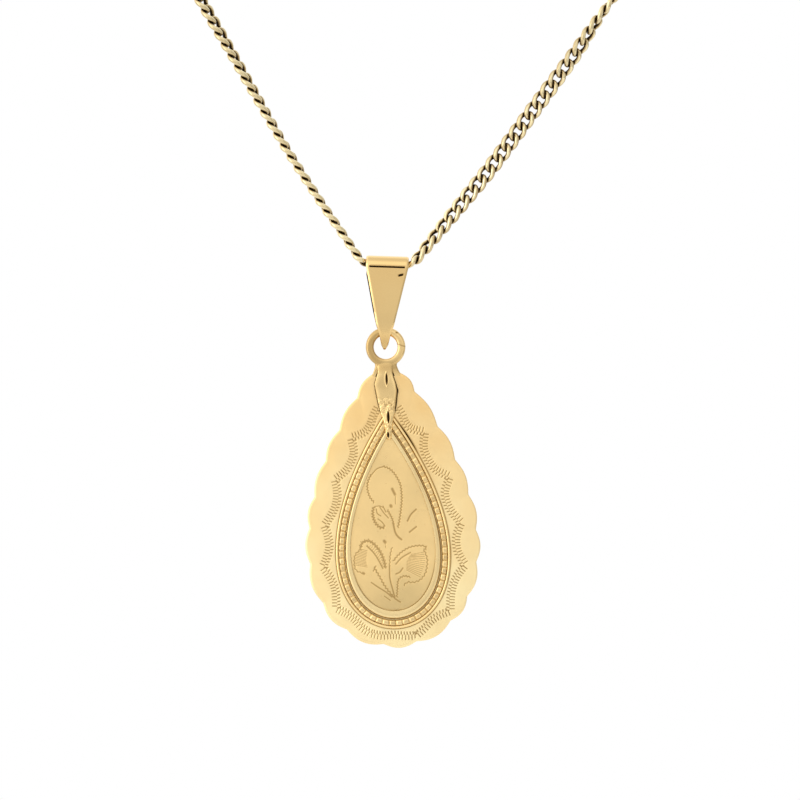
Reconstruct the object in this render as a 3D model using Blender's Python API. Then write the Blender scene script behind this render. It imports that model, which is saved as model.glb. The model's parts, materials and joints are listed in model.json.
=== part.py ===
"""Gold teardrop locket with a hinged back, hanging on a curb chain from a folded bail.

The origin is the middle of the chain where it carries the bail. +Z is up and the
decorated front faces -Y. The locket hangs from the bail by a ring, and its back
lid turns on an upright hinge at the left. The chain ends in a spring ring clasp
on the left and in an end ring on the right.
"""

import math

import bmesh
import bpy
from mathutils import Vector

# ---------------------------------------------------------------- driving dimensions
# All lengths are in millimetres. A helper turns them into metres as a mesh is made.
MM = 0.001
WELD = 0.001
CLEARANCE = 0.04

# The chain, as a plain tube. (x, z) of the middle of the chain, left end first.
CHAIN_DIAMETER = 1.3
CHAIN_ROUTE = (
    (-22.55, 32.25), (-20.25, 28.2), (-18.5, 25.2), (-15.2, 19.4), (-11.8, 13.5), (-8.0, 7.6),
    (-5.6, 4.1), (-4.0, 1.75), (-3.2, 0.62), (-2.45, 0.12), (-1.2, 0.03), (0.0, 0.0),
    (1.2, -0.03), (2.45, -0.06), (3.3, 0.5), (4.3, 1.7), (6.25, 4.1), (9.1, 7.6), (11.95, 11.1),
    (14.6, 14.65), (17.2, 18.2), (19.8, 21.7), (22.4, 25.25), (24.6, 28.6), (27.1, 32.1),
)
CHAIN_STEP = 1.4

# The folded bail: a tapered loop of sheet.
BAIL_TOP = 1.0
BAIL_FOLD = -0.30
BAIL_TIP = -10.04
BAIL_HALF_DEPTH = 1.38
BAIL_SHEET = 0.23
BAIL_SEAT = -8.66
BAIL_HALF_WIDTH = 2.54
BAIL_TIP_HALF_WIDTH = 0.60
BAIL_TIP_START = -9.40
BAIL_LEAN = math.radians(1.88)

# The hanger: a wire ring that flows into a strap soldered over the plate.
RING_CENTRE = -9.71
RING_RADIUS = 1.865
RING_WIRE_RADIUS = 0.475
STRAP_END = -16.75
STRAP_NECK = 0.80
STRAP_SHOULDER = 1.42
STRAP_TAIL = 1.00
STRAP_SHOULDER_Z = -14.0
STRAP_THICKNESS = 0.50

# The locket hangs from the middle of the ring's top wire.
LOCKET_PIVOT = RING_CENTRE + RING_RADIUS
LOCKET_SHIFT = -0.27
LOCKET_LEAN = math.radians(-2.1)

# The scalloped front plate. The spans are the widths of its scallops in turn,
# down the right side and up the left.
PLATE_TOP = -10.85
PLATE_BOTTOM = -44.75
PLATE_HALF_WIDTH = 9.9
PLATE_SHARPNESS = 0.91
PLATE_THICKNESS = 0.35
PLATE_FRONT = -0.20
PLATE_NECK_Z = -12.14
PLATE_FIRST_CUSP_Z = -12.76
SCALLOP_RISE = 0.40
SCALLOP_SOFTNESS = 1.25
SCALLOP_STEPS = 6
SCALLOP_SPANS = (
    2.8, 4.9, 4.4, 4.4, 4.2, 3.8, 4.2, 3.5, 4.7,
    3.9,
    4.7, 4.2, 4.9, 4.2, 3.7, 4.4, 4.0, 4.3, 3.4,
)

# The border is one drop shape. The case behind it and the wires on it are insets of it.
BORDER_TOP = -17.05
BORDER_BOTTOM = -42.85
BORDER_HALF_WIDTH = 6.74
BORDER_SHARPNESS = 0.95
BORDER_STEPS = 26
BORDER_WIRE_WIDTH = 0.30
BORDER_WIRE_HEIGHT = 0.30
BEAD_STRIP_INSET = 0.34
BEAD_STRIP_WIDTH = 0.66
BEAD_STRIP_HEIGHT = 0.36
RIM_INSET = 1.04
RIM_HEIGHT = 0.62
RIM_ROUND = 0.12
PANEL_TOP = -19.95
PANEL_BOTTOM = -40.80
PANEL_HALF_WIDTH = 5.02
PANEL_HEIGHT = 0.22

# The case, from the back of the plate (towards +Y) to the outside of the lid.
CASE_INSET = 0.05
CASE_WALL = 0.35
CASE_DEPTH = 1.86
LID_THICKNESS = 0.35
SNAP_RIM_WALL = 0.25
SNAP_RIM_DEPTH = 0.70
CARD_THICKNESS = 0.15
COVER_THICKNESS = 0.25
FRAME_THICKNESS = 0.24
FRAME_WIDTH = 0.85
THUMB_LIP_RADIUS = 0.95
THUMB_LIP_REACH = 0.45

# The lid's hinge: two knuckles on the case, one on the lid, and a pin.
HINGE_Z = -34.3
KNUCKLE_RADIUS = 0.36
KNUCKLE_LENGTH = 1.9
KNUCKLE_GAP = 0.05
KNUCKLE_FOOT = 0.25
HINGE_PIN_RADIUS = 0.17
HINGE_HOLE_RADIUS = 0.21
HINGE_OFFSET = 0.44

# The spring ring clasp and the end ring.
JUMP_RING_RADIUS = 0.90
JUMP_WIRE_RADIUS = 0.25
CLASP_EYE_RADIUS = 0.68
CLASP_EYE_WIRE_RADIUS = 0.23
CLASP_RADIUS = 2.40
CLASP_TUBE_RADIUS = 0.60
CLASP_CHANNEL_RADIUS = 0.40
CLASP_BOLT_RADIUS = 0.35
CLASP_EYE_OVERLAP = 0.13
CLASP_MOUTH = (40.0, 95.0)
CLASP_SOCKET_END = 110.0
CLASP_CHANNEL_END = -135.0
CLASP_SLOT = (-62.0, 24.0)
CLASP_SLOT_RADIUS = 0.28
CLASP_BOLT_SPAN = (-2.0, 102.0)
CLASP_KNOB_ANGLE = 14.0
CLASP_KNOB_RADIUS = 0.22
CLASP_KNOB_HEIGHT = 1.25
CLASP_SPRING_RADIUS = 0.26
CLASP_SPRING_WIRE = 0.05
CLASP_SPRING_TURNS = 14
END_RING_RADIUS = 1.45
END_RING_WIRE_RADIUS = 0.32


# ---------------------------------------------------------------- scene helpers
def clear_scene():
    for obj in list(bpy.data.objects):
        bpy.data.objects.remove(obj, do_unlink=True)


def make_collection(name):
    collection = bpy.data.collections.new(name)
    bpy.context.scene.collection.children.link(collection)
    return collection


def make_material(name, colour, roughness, metallic, alpha=1.0):
    material = bpy.data.materials.new(name)
    material.use_nodes = True
    shader = material.node_tree.nodes["Principled BSDF"]
    shader.inputs["Base Color"].default_value = (*colour, 1.0)
    shader.inputs["Roughness"].default_value = roughness
    shader.inputs["Metallic"].default_value = metallic
    shader.inputs["Alpha"].default_value = alpha
    return material


def link(obj, collection, material):
    for other in list(obj.users_collection):
        other.objects.unlink(obj)
    collection.objects.link(obj)
    obj.data.materials.clear()
    obj.data.materials.append(material)
    obj.data.name = obj.name
    return obj


def to_mesh(obj):
    """Turn an object with its curves or modifiers into a plain, welded mesh object."""
    name = obj.name
    depsgraph = bpy.context.evaluated_depsgraph_get()
    mesh = bpy.data.meshes.new_from_object(obj.evaluated_get(depsgraph))
    mesh.transform(obj.matrix_world)
    shape = bmesh.new()
    shape.from_mesh(mesh)
    bmesh.ops.remove_doubles(shape, verts=shape.verts, dist=WELD * MM)
    bmesh.ops.dissolve_degenerate(shape, edges=shape.edges, dist=WELD * MM)
    bmesh.ops.recalc_face_normals(shape, faces=shape.faces)
    shape.to_mesh(mesh)
    shape.free()
    bpy.data.objects.remove(obj, do_unlink=True)
    result = bpy.data.objects.new(name, mesh)
    bpy.context.scene.collection.objects.link(result)
    bpy.context.view_layer.update()
    return result


def combine(obj, other, operation):
    """Join, cut or intersect obj with other, which is used up."""
    modifier = obj.modifiers.new(operation.title(), "BOOLEAN")
    modifier.operation = operation
    modifier.object = other
    bpy.context.view_layer.update()
    result = to_mesh(obj)
    bpy.data.objects.remove(other, do_unlink=True)
    return result


def smooth(obj, angle=35.0):
    obj.data.shade_smooth()
    obj.data.set_sharp_from_angle(angle=math.radians(angle))


# ---------------------------------------------------------------- shape helpers
def prism(name, outlines, start, end, rounding=0.0, side=False):
    """A solid with the given outlines (an edge, then any holes) from start to end.

    It reaches along Y with its outline in (x, z), or along X with its outline in (y, z)
    where side is true. rounding rounds the edges of both faces.
    """
    curve = bpy.data.curves.new(name, "CURVE")
    curve.dimensions = "2D"
    curve.fill_mode = "BOTH"
    curve.extrude = (abs(end - start) / 2 - rounding) * MM
    curve.bevel_depth = rounding * MM
    curve.bevel_resolution = 1
    curve.offset = -rounding * MM
    for outline in outlines:
        spline = curve.splines.new("POLY")
        spline.points.add(len(outline) - 1)
        for point, (across, up) in zip(spline.points, outline):
            point.co = (across * MM, up * MM, 0.0, 1.0)
        spline.use_cyclic_u = True
    obj = bpy.data.objects.new(name, curve)
    bpy.context.scene.collection.objects.link(obj)
    middle = (start + end) / 2 * MM
    if side:
        obj.location = (middle, 0.0, 0.0)
        obj.rotation_euler = (math.pi / 2, 0.0, math.pi / 2)
    else:
        obj.location = (0.0, middle, 0.0)
        obj.rotation_euler = (math.pi / 2, 0.0, 0.0)
    bpy.context.view_layer.update()
    return to_mesh(obj)


def tube(name, points, radius, resolution=2):
    """A round rod with flat ends that follows the points."""
    curve = bpy.data.curves.new(name, "CURVE")
    curve.dimensions = "3D"
    curve.bevel_depth = radius * MM
    curve.bevel_resolution = resolution
    curve.use_fill_caps = True
    spline = curve.splines.new("POLY")
    spline.points.add(len(points) - 1)
    for point, place in zip(spline.points, points):
        point.co = (*(Vector(place) * MM), 1.0)
    obj = bpy.data.objects.new(name, curve)
    bpy.context.scene.collection.objects.link(obj)
    bpy.context.view_layer.update()
    return to_mesh(obj)


def ring(name, centre, radius, wire_radius, axis, segments=36, sides=12):
    turn = Vector(axis).to_track_quat("Z", "Y").to_euler()
    bpy.ops.mesh.primitive_torus_add(
        major_segments=segments,
        minor_segments=sides,
        major_radius=radius * MM,
        minor_radius=wire_radius * MM,
        location=Vector(centre) * MM,
        rotation=turn,
    )
    obj = bpy.context.object
    obj.name = name
    return to_mesh(obj)


def cylinder(name, start, end, radius, sides=20):
    start = Vector(start)
    end = Vector(end)
    bpy.ops.mesh.primitive_cylinder_add(
        vertices=sides,
        radius=radius * MM,
        depth=(end - start).length * MM,
        location=(start + end) / 2 * MM,
        rotation=(end - start).to_track_quat("Z", "Y").to_euler(),
    )
    obj = bpy.context.object
    obj.name = name
    return to_mesh(obj)


def box(name, low, high):
    bpy.ops.mesh.primitive_cube_add(size=1.0, location=(Vector(low) + Vector(high)) / 2 * MM)
    obj = bpy.context.object
    obj.name = name
    obj.scale = (Vector(high) - Vector(low)) * MM
    bpy.context.view_layer.update()
    return to_mesh(obj)


def smooth_route(route, step):
    """Points a step apart on a smooth curve through the route's points."""
    ends = [2 * route[0] - route[1]] + list(route) + [2 * route[-1] - route[-2]]
    fine = []
    for before, start, end, after in zip(ends, ends[1:], ends[2:], ends[3:]):
        for i in range(20):
            t = i / 20
            point = 2 * start + (end - before) * t
            point += (2 * before - 5 * start + 4 * end - after) * t**2
            point += (3 * start - before - 3 * end + after) * t**3
            fine.append(point / 2)
    fine.append(route[-1])
    lengths = [(b - a).length for a, b in zip(fine, fine[1:])]
    count = round(sum(lengths) / step)
    spacing = sum(lengths) / count
    points = [fine[0]]
    walked = 0.0
    for start, end, length in zip(fine, fine[1:], lengths):
        while length > 0 and walked + length >= spacing * len(points) - 1e-9:
            share = (spacing * len(points) - walked) / length
            points.append(start.lerp(end, min(share, 1.0)))
        walked += length
    return points


# ---------------------------------------------------------------- outlines
def drop_half(top, bottom, half_width, sharpness, steps, inset=0.0):
    """The right half of a drop outline, from its tip down to its round bottom, as (x, z)."""
    peak = 2 * ((1 + sharpness) / (2 + sharpness)) ** ((1 + sharpness) / 2) / math.sqrt(2 + sharpness)
    across = half_width / peak
    half_height = (top - bottom) / 2
    middle = (top + bottom) / 2
    points = []
    for i in range(1, steps):
        turn = math.pi * i / steps
        lift = math.sin(turn / 2) ** sharpness
        x = across * math.sin(turn) * lift
        z = middle + half_height * math.cos(turn)
        along_x = across * math.cos(turn) * lift
        along_x += across * sharpness * math.cos(turn / 2) ** 2 * lift
        along_z = -half_height * math.sin(turn)
        length = math.hypot(along_x, along_z)
        points.append((x + inset * along_z / length, z - inset * along_x / length))
    kept = [point for point in points if point[0] > 0.02]
    (x1, z1), (x2, z2) = kept[0], kept[1]
    tip = (0.0, z1 + (z1 - z2) * x1 / (x2 - x1))
    return [tip] + kept + [(0.0, bottom + inset)]


def closed(half):
    """A whole outline from its right half."""
    return half + [(-x, z) for x, z in reversed(half[1:-1])]


def border_outline(inset):
    half = drop_half(
        BORDER_TOP, BORDER_BOTTOM, BORDER_HALF_WIDTH, BORDER_SHARPNESS, BORDER_STEPS, inset
    )
    return closed(half)


def panel_outline(inset):
    half = drop_half(
        PANEL_TOP, PANEL_BOTTOM, PANEL_HALF_WIDTH, BORDER_SHARPNESS, BORDER_STEPS, inset
    )
    return closed(half)


def scalloped_outline():
    """The plate's edge: soft round scallops, set end to end along a drop."""
    half = drop_half(PLATE_TOP, PLATE_BOTTOM, PLATE_HALF_WIDTH, PLATE_SHARPNESS, 200)
    line = [Vector(p) for p in closed(half) if p[1] <= PLATE_FIRST_CUSP_Z]
    steps = [(b - a).length for a, b in zip(line, line[1:])]
    along = [0.0]
    for length in steps:
        along.append(along[-1] + length)
    scale = along[-1] / sum(SCALLOP_SPANS)

    def place(distance):
        for start, end, a, b in zip(line, line[1:], along, along[1:]):
            if distance <= b:
                tangent = (end - start).normalized()
                outward = Vector((-tangent.y, tangent.x))
                return start.lerp(end, (distance - a) / (b - a)), outward
        return line[-1], outward

    points = []
    walked = 0.0
    for span in SCALLOP_SPANS:
        for i in range(SCALLOP_STEPS):
            share = i / SCALLOP_STEPS
            point, outward = place(walked + share * span * scale)
            rise = SCALLOP_RISE * (4 * share * (1 - share)) ** SCALLOP_SOFTNESS
            points.append(tuple(point + outward * rise))
        walked += span * scale
    points.append(tuple(line[-1]))
    neck = STRAP_SHOULDER
    return [(neck, PLATE_NECK_Z - 0.2)] + points + [(-neck, PLATE_NECK_Z - 0.2)] + [
        (-neck + 0.4, PLATE_NECK_Z),
        (neck - 0.4, PLATE_NECK_Z),
    ]


# ---------------------------------------------------------------- chain, clasp and end ring
def build_chain(collection, gold):
    route = [Vector((x, 0.0, z)) for x, z in CHAIN_ROUTE]
    chain = tube("curb_chain", smooth_route(route, CHAIN_STEP), CHAIN_DIAMETER / 2)
    smooth(chain)
    link(chain, collection, gold)


def route_end(end, inner):
    """The end of the chain's route and the direction in which the chain leaves it."""
    tip = Vector((end[0], 0.0, end[1]))
    return tip, (tip - Vector((inner[0], 0.0, inner[1]))).normalized()


def clasp_arc(centre, up, radius, start, end, step=6.0):
    """Points round the clasp, by angle from its top towards its left."""
    left = Vector((-up.z, 0.0, up.x))
    count = max(2, math.ceil((end - start) / step))
    points = []
    for i in range(count + 1):
        angle = math.radians(start + (end - start) * i / count)
        points.append(centre + (up * math.cos(angle) + left * math.sin(angle)) * radius)
    return points


def build_clasp(collection, gold, steel):
    tip, up = route_end(CHAIN_ROUTE[0], CHAIN_ROUTE[1])
    jump_centre = tip + up * (JUMP_RING_RADIUS + JUMP_WIRE_RADIUS + CLEARANCE)
    eye_centre = jump_centre + up * (JUMP_RING_RADIUS + 0.1)
    centre = eye_centre + up * (
        CLASP_EYE_RADIUS + CLASP_RADIUS + CLASP_TUBE_RADIUS - CLASP_EYE_OVERLAP
    )
    sideways = Vector((-up.z, 0.0, up.x))

    jump_ring = ring(
        "clasp_jump_ring", jump_centre, JUMP_RING_RADIUS, JUMP_WIRE_RADIUS, sideways, 24, 8
    )
    smooth(jump_ring)
    link(jump_ring, collection, gold)

    mouth_start, mouth_end = CLASP_MOUTH
    body = tube(
        "clasp_body",
        clasp_arc(centre, up, CLASP_RADIUS, mouth_end, 360 + mouth_start),
        CLASP_TUBE_RADIUS,
    )
    eye = ring("eye", eye_centre, CLASP_EYE_RADIUS, CLASP_EYE_WIRE_RADIUS, (0, 1, 0), 20, 8)
    body = combine(body, eye, "UNION")
    channel = tube(
        "channel",
        clasp_arc(centre, up, CLASP_RADIUS, CLASP_CHANNEL_END, mouth_start + 4),
        CLASP_CHANNEL_RADIUS,
    )
    body = combine(body, channel, "DIFFERENCE")
    socket = tube(
        "socket",
        clasp_arc(centre, up, CLASP_RADIUS, mouth_end - 4, CLASP_SOCKET_END),
        CLASP_CHANNEL_RADIUS,
    )
    body = combine(body, socket, "DIFFERENCE")
    slot = tube(
        "slot",
        clasp_arc(centre, up, CLASP_RADIUS + CLASP_TUBE_RADIUS - 0.1, *CLASP_SLOT),
        CLASP_SLOT_RADIUS,
    )
    body = combine(body, slot, "DIFFERENCE")
    smooth(body)
    link(body, collection, gold)

    bolt = tube(
        "clasp_bolt",
        clasp_arc(centre, up, CLASP_RADIUS, *CLASP_BOLT_SPAN),
        CLASP_BOLT_RADIUS,
    )
    foot, top = [
        clasp_arc(centre, up, radius, CLASP_KNOB_ANGLE, CLASP_KNOB_ANGLE + 1)[0]
        for radius in (CLASP_RADIUS, CLASP_RADIUS + CLASP_KNOB_HEIGHT)
    ]
    bolt = combine(bolt, cylinder("knob", foot, top, CLASP_KNOB_RADIUS, 12), "UNION")
    axis = bpy.data.objects.new("clasp_axis", None)
    axis.location = centre * MM
    collection.objects.link(axis)
    smooth(bolt)
    link(bolt, collection, gold)
    hold(bolt, axis)

    tail = CLASP_BOLT_SPAN[0] - 1.5
    stop = CLASP_CHANNEL_END + 1.5
    steps = CLASP_SPRING_TURNS * 8
    left = Vector((-up.z, 0.0, up.x))
    coil = []
    for i in range(steps + 1):
        angle = math.radians(tail + (stop - tail) * i / steps)
        outward = up * math.cos(angle) + left * math.sin(angle)
        turn = 2 * math.pi * CLASP_SPRING_TURNS * i / steps
        radius = CLASP_RADIUS + CLASP_SPRING_RADIUS * math.cos(turn)
        depth = Vector((0.0, CLASP_SPRING_RADIUS * math.sin(turn), 0.0))
        coil.append(centre + outward * radius + depth)
    spring = tube("clasp_spring", coil, CLASP_SPRING_WIRE, 0)
    link(spring, collection, steel)


def build_end_ring(collection, gold):
    tip, up = route_end(CHAIN_ROUTE[-1], CHAIN_ROUTE[-2])
    centre = tip + up * (END_RING_RADIUS + END_RING_WIRE_RADIUS + CLEARANCE)
    end_ring = ring("end_ring", centre, END_RING_RADIUS, END_RING_WIRE_RADIUS, (0, 1, 0), 28, 8)
    smooth(end_ring)
    link(end_ring, collection, gold)


# ---------------------------------------------------------------- bail
def loop_outline(top, fold, bottom, half_depth, fullness):
    """A bail's side view as (y, z): a round fold on top, closing in a round tip."""
    right = []
    for i in range(10):
        turn = math.pi / 2 * i / 10
        right.append((half_depth * math.sin(turn), fold + (top - fold) * math.cos(turn)))
    for i in range(17):
        drop = math.sin(math.pi / 2 * i / 16)
        half = half_depth * math.sqrt(max(0.0, 1 - drop**fullness))
        right.append((half, fold + (bottom - fold) * drop))
    return right[:-1] + [(0.0, bottom)] + [(-y, z) for y, z in reversed(right[1:-1])]


def bail_front_outline():
    """The bail's front view: a straight band, then a long taper to a round tip."""
    half = [(BAIL_HALF_WIDTH, BAIL_TOP + 0.5), (BAIL_HALF_WIDTH, BAIL_FOLD)]
    for i in range(7):
        turn = math.pi / 2 * i / 6
        half.append((
            BAIL_TIP_HALF_WIDTH * math.cos(turn),
            BAIL_TIP_START + (BAIL_TIP - BAIL_TIP_START) * math.sin(turn),
        ))
    half[-1] = (0.0, BAIL_TIP)
    return half + [(-x, z) for x, z in reversed(half[:-1])]


def build_bail(collection, gold):
    outside = loop_outline(BAIL_TOP, BAIL_FOLD, BAIL_TIP, BAIL_HALF_DEPTH, 3.5)
    inside = loop_outline(
        BAIL_TOP - BAIL_SHEET, BAIL_FOLD, BAIL_SEAT, BAIL_HALF_DEPTH - BAIL_SHEET, 7
    )
    reach = BAIL_HALF_WIDTH + 1
    bail = prism("bail", [outside, inside], -reach, reach, side=True)
    front = prism("front", [bail_front_outline()], -2 * BAIL_HALF_DEPTH, 2 * BAIL_HALF_DEPTH)
    bail = combine(bail, front, "INTERSECT")
    smooth(bail)
    link(bail, collection, gold)
    pivot = bpy.data.objects.new("bail_pivot", None)
    collection.objects.link(pivot)
    hold(bail, pivot)
    pivot.rotation_euler = (0.0, BAIL_LEAN, 0.0)


# ---------------------------------------------------------------- locket front
def build_hanger(collection, gold):
    """The ring and the strap, which is the overlap of its front view and its side view."""
    top = RING_CENTRE - RING_RADIUS + 0.25
    strap_back = PLATE_FRONT - CLEARANCE
    strap_front = strap_back - STRAP_THICKNESS
    right = [
        (STRAP_NECK, top),
        (STRAP_NECK, top - 1.0),
        (STRAP_SHOULDER, STRAP_SHOULDER_Z),
        (STRAP_SHOULDER - 0.04, STRAP_SHOULDER_Z - 0.4),
        (STRAP_TAIL, STRAP_END),
    ]
    front_view = right + [(-x, z) for x, z in reversed(right)]
    side_view = [
        (0.25, top + 0.1),
        (0.12, top - 0.45),
        (strap_back, PLATE_NECK_Z + 0.08),
        (strap_back, STRAP_END - 1),
        (strap_front + 0.35, STRAP_END - 1),
        (strap_front, STRAP_END + 1.4),
        (strap_front, STRAP_SHOULDER_Z + 1.2),
        (-0.40, top + 0.1),
    ]
    strap = prism("strap", [front_view], -2, 2)
    strap = combine(strap, prism("side", [side_view], -3, 3, side=True), "INTERSECT")
    hanger = ring(
        "hanger", (0, 0, RING_CENTRE), RING_RADIUS, RING_WIRE_RADIUS, (0, 1, 0), 40, 14
    )
    hanger = combine(hanger, strap, "UNION")
    smooth(hanger)
    return link(hanger, collection, gold)


def raised(name, outlines, height, collection, gold, rounding=0.0):
    """A piece that stands on the front of the plate."""
    back = PLATE_FRONT - CLEARANCE
    piece = prism(name, outlines, back - height, back, rounding)
    smooth(piece)
    return link(piece, collection, gold)


def build_front(collection, gold, panel_gold):
    plate = prism(
        "front_plate", [scalloped_outline()], PLATE_FRONT, PLATE_FRONT + PLATE_THICKNESS
    )
    smooth(plate)
    link(plate, collection, gold)
    wire = raised(
        "border_wire",
        [border_outline(0.0), border_outline(BORDER_WIRE_WIDTH)],
        BORDER_WIRE_HEIGHT,
        collection,
        gold,
    )
    beads = raised(
        "milgrain_strip",
        [border_outline(BEAD_STRIP_INSET), border_outline(BEAD_STRIP_INSET + BEAD_STRIP_WIDTH)],
        BEAD_STRIP_HEIGHT,
        collection,
        gold,
    )
    rim = raised(
        "polished_rim",
        [border_outline(RIM_INSET), panel_outline(0.0)],
        RIM_HEIGHT,
        collection,
        gold,
        RIM_ROUND,
    )
    panel = raised(
        "centre_panel", [panel_outline(CLEARANCE)], PANEL_HEIGHT, collection, panel_gold
    )
    return [plate, wire, beads, rim, panel]


# ---------------------------------------------------------------- case, inner pieces and lid
def layer(name, outlines, start, thickness, collection, material):
    """A flat piece of the case whose front is at start (y)."""
    piece = prism(name, outlines, start, start + thickness)
    smooth(piece)
    return link(piece, collection, material)


def build_case(collection, gold, paper, celluloid):
    start = PLATE_FRONT + PLATE_THICKNESS + CLEARANCE
    inside = CASE_INSET + CASE_WALL
    fit = inside + CLEARANCE
    wall = layer(
        "case_wall", [border_outline(CASE_INSET), border_outline(inside)],
        start, CASE_DEPTH, collection, gold,
    )
    card = layer("front_photo_card", [border_outline(fit)], start, CARD_THICKNESS, collection, paper)
    cover_start = start + CARD_THICKNESS + CLEARANCE
    cover = layer(
        "front_clear_cover", [border_outline(fit)],
        cover_start, COVER_THICKNESS, collection, celluloid,
    )
    frame = layer(
        "front_photo_frame", [border_outline(fit), border_outline(fit + FRAME_WIDTH)],
        cover_start + COVER_THICKNESS + CLEARANCE, FRAME_THICKNESS, collection, gold,
    )
    return [wall, card, cover, frame]


def build_lid(collection, gold, paper, celluloid):
    parting = PLATE_FRONT + PLATE_THICKNESS + CLEARANCE + CASE_DEPTH
    lid_front = parting + CLEARANCE
    lid = prism("back_lid", [border_outline(CASE_INSET)], lid_front, lid_front + LID_THICKNESS)
    lip_centre = BORDER_HALF_WIDTH - THUMB_LIP_RADIUS + THUMB_LIP_REACH
    lip = cylinder(
        "lip",
        (lip_centre, lid_front + 0.05, HINGE_Z),
        (lip_centre, lid_front + LID_THICKNESS - 0.05, HINGE_Z),
        THUMB_LIP_RADIUS,
        24,
    )
    lid = combine(lid, lip, "UNION")
    smooth(lid)
    link(lid, collection, gold)

    rim_inset = CASE_INSET + CASE_WALL + CLEARANCE + 0.01
    fit = rim_inset + SNAP_RIM_WALL + CLEARANCE
    snap_rim = layer(
        "lid_snap_rim",
        [border_outline(rim_inset), border_outline(rim_inset + SNAP_RIM_WALL)],
        parting - SNAP_RIM_DEPTH, SNAP_RIM_DEPTH, collection, gold,
    )
    card_start = parting - CARD_THICKNESS
    card = layer(
        "lid_photo_card", [border_outline(fit)], card_start, CARD_THICKNESS, collection, paper
    )
    cover_start = card_start - CLEARANCE - COVER_THICKNESS
    cover = layer(
        "lid_clear_cover", [border_outline(fit)],
        cover_start, COVER_THICKNESS, collection, celluloid,
    )
    frame_thickness = cover_start - CLEARANCE - (parting - SNAP_RIM_DEPTH)
    frame = layer(
        "lid_photo_frame", [border_outline(fit), border_outline(fit + FRAME_WIDTH)],
        parting - SNAP_RIM_DEPTH, frame_thickness, collection, gold,
    )
    return [lid, snap_rim, card, cover, frame]


def hinge_axis():
    """(x, y) of the lid's hinge, on the parting line beside the case's widest place."""
    wall = BORDER_HALF_WIDTH - CASE_INSET
    parting = PLATE_FRONT + PLATE_THICKNESS + CLEARANCE + CASE_DEPTH
    return -wall - HINGE_OFFSET, parting + CLEARANCE / 2


def knuckle(name, z, foot_low, foot_high, collection, gold):
    """One tube of the hinge with a foot that reaches the case or the lid."""
    x, y = hinge_axis()
    low = z - KNUCKLE_LENGTH / 2
    high = z + KNUCKLE_LENGTH / 2
    barrel = cylinder(name, (x, y, low), (x, y, high), KNUCKLE_RADIUS, 20)
    foot_end = x + HINGE_OFFSET - 0.03
    foot = box("foot", (x + 0.05, foot_low, low), (foot_end, foot_high, high))
    barrel = combine(barrel, foot, "UNION")
    hole = cylinder("hole", (x, y, low - 1), (x, y, high + 1), HINGE_HOLE_RADIUS, 20)
    barrel = combine(barrel, hole, "DIFFERENCE")
    smooth(barrel)
    return link(barrel, collection, gold)


def build_hinge(collection, gold):
    x, y = hinge_axis()
    pitch = KNUCKLE_LENGTH + KNUCKLE_GAP
    case_foot = (y - 0.33, y - 0.33 + KNUCKLE_FOOT)
    lid_foot = (y + 0.08, y + 0.08 + KNUCKLE_FOOT)
    upper = knuckle("case_knuckle_upper", HINGE_Z + pitch, *case_foot, collection, gold)
    lower = knuckle("case_knuckle_lower", HINGE_Z - pitch, *case_foot, collection, gold)
    middle = knuckle("lid_knuckle", HINGE_Z, *lid_foot, collection, gold)
    reach = pitch + KNUCKLE_LENGTH / 2 + 0.08
    pin = cylinder(
        "hinge_pin", (x, y, HINGE_Z - reach), (x, y, HINGE_Z + reach), HINGE_PIN_RADIUS, 16
    )
    smooth(pin)
    link(pin, collection, gold)
    return [upper, lower, pin], [middle]


# ---------------------------------------------------------------- assembly
def hold(obj, parent):
    """Parent obj and leave it where it is."""
    bpy.context.view_layer.update()
    obj.parent = parent
    obj.matrix_parent_inverse = parent.matrix_world.inverted()


def build_locket(collection, gold, panel_gold, paper, celluloid):
    pivot = bpy.data.objects.new("locket_pivot", None)
    pivot.location = (0.0, 0.0, LOCKET_PIVOT * MM)
    collection.objects.link(pivot)
    hinge_x, hinge_y = hinge_axis()
    lid_pivot = bpy.data.objects.new("lid_pivot", None)
    lid_pivot.location = Vector((hinge_x, hinge_y, HINGE_Z)) * MM
    collection.objects.link(lid_pivot)

    fixed = [build_hanger(collection, gold)]
    fixed += build_front(collection, gold, panel_gold)
    fixed += build_case(collection, gold, paper, celluloid)
    case_hinge, lid_hinge = build_hinge(collection, gold)
    fixed += case_hinge
    for piece in build_lid(collection, gold, paper, celluloid) + lid_hinge:
        hold(piece, lid_pivot)
    for piece in fixed + [lid_pivot]:
        hold(piece, pivot)
    pivot.rotation_euler = (0.0, LOCKET_LEAN, 0.0)
    pivot.location.x = LOCKET_SHIFT * MM


def main():
    clear_scene()
    collection = make_collection("locket")
    gold = make_material("polished_gold", (0.83, 0.60, 0.26), 0.18, 1.0)
    panel_gold = make_material("satin_gold", (0.80, 0.57, 0.25), 0.32, 1.0)
    steel = make_material("spring_steel", (0.55, 0.54, 0.52), 0.3, 1.0)
    paper = make_material("photo_card", (0.86, 0.83, 0.76), 0.7, 0.0)
    celluloid = make_material("clear_cover", (0.93, 0.94, 0.92), 0.08, 0.0, 0.35)
    build_chain(collection, gold)
    build_clasp(collection, gold, steel)
    build_end_ring(collection, gold)
    build_bail(collection, gold)
    build_locket(collection, gold, panel_gold, paper, celluloid)
    bpy.context.view_layer.update()


main()
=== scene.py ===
"""The finished look of a gold teardrop locket on a curb chain.

Shapes are worked out in millimetres and turned into metres as each mesh is made.
The locket's own pieces are drawn upright and then lean with it; the bail likewise.
"""

import json
import math

import bmesh
import bpy
import numpy as np
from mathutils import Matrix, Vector, noise


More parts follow.
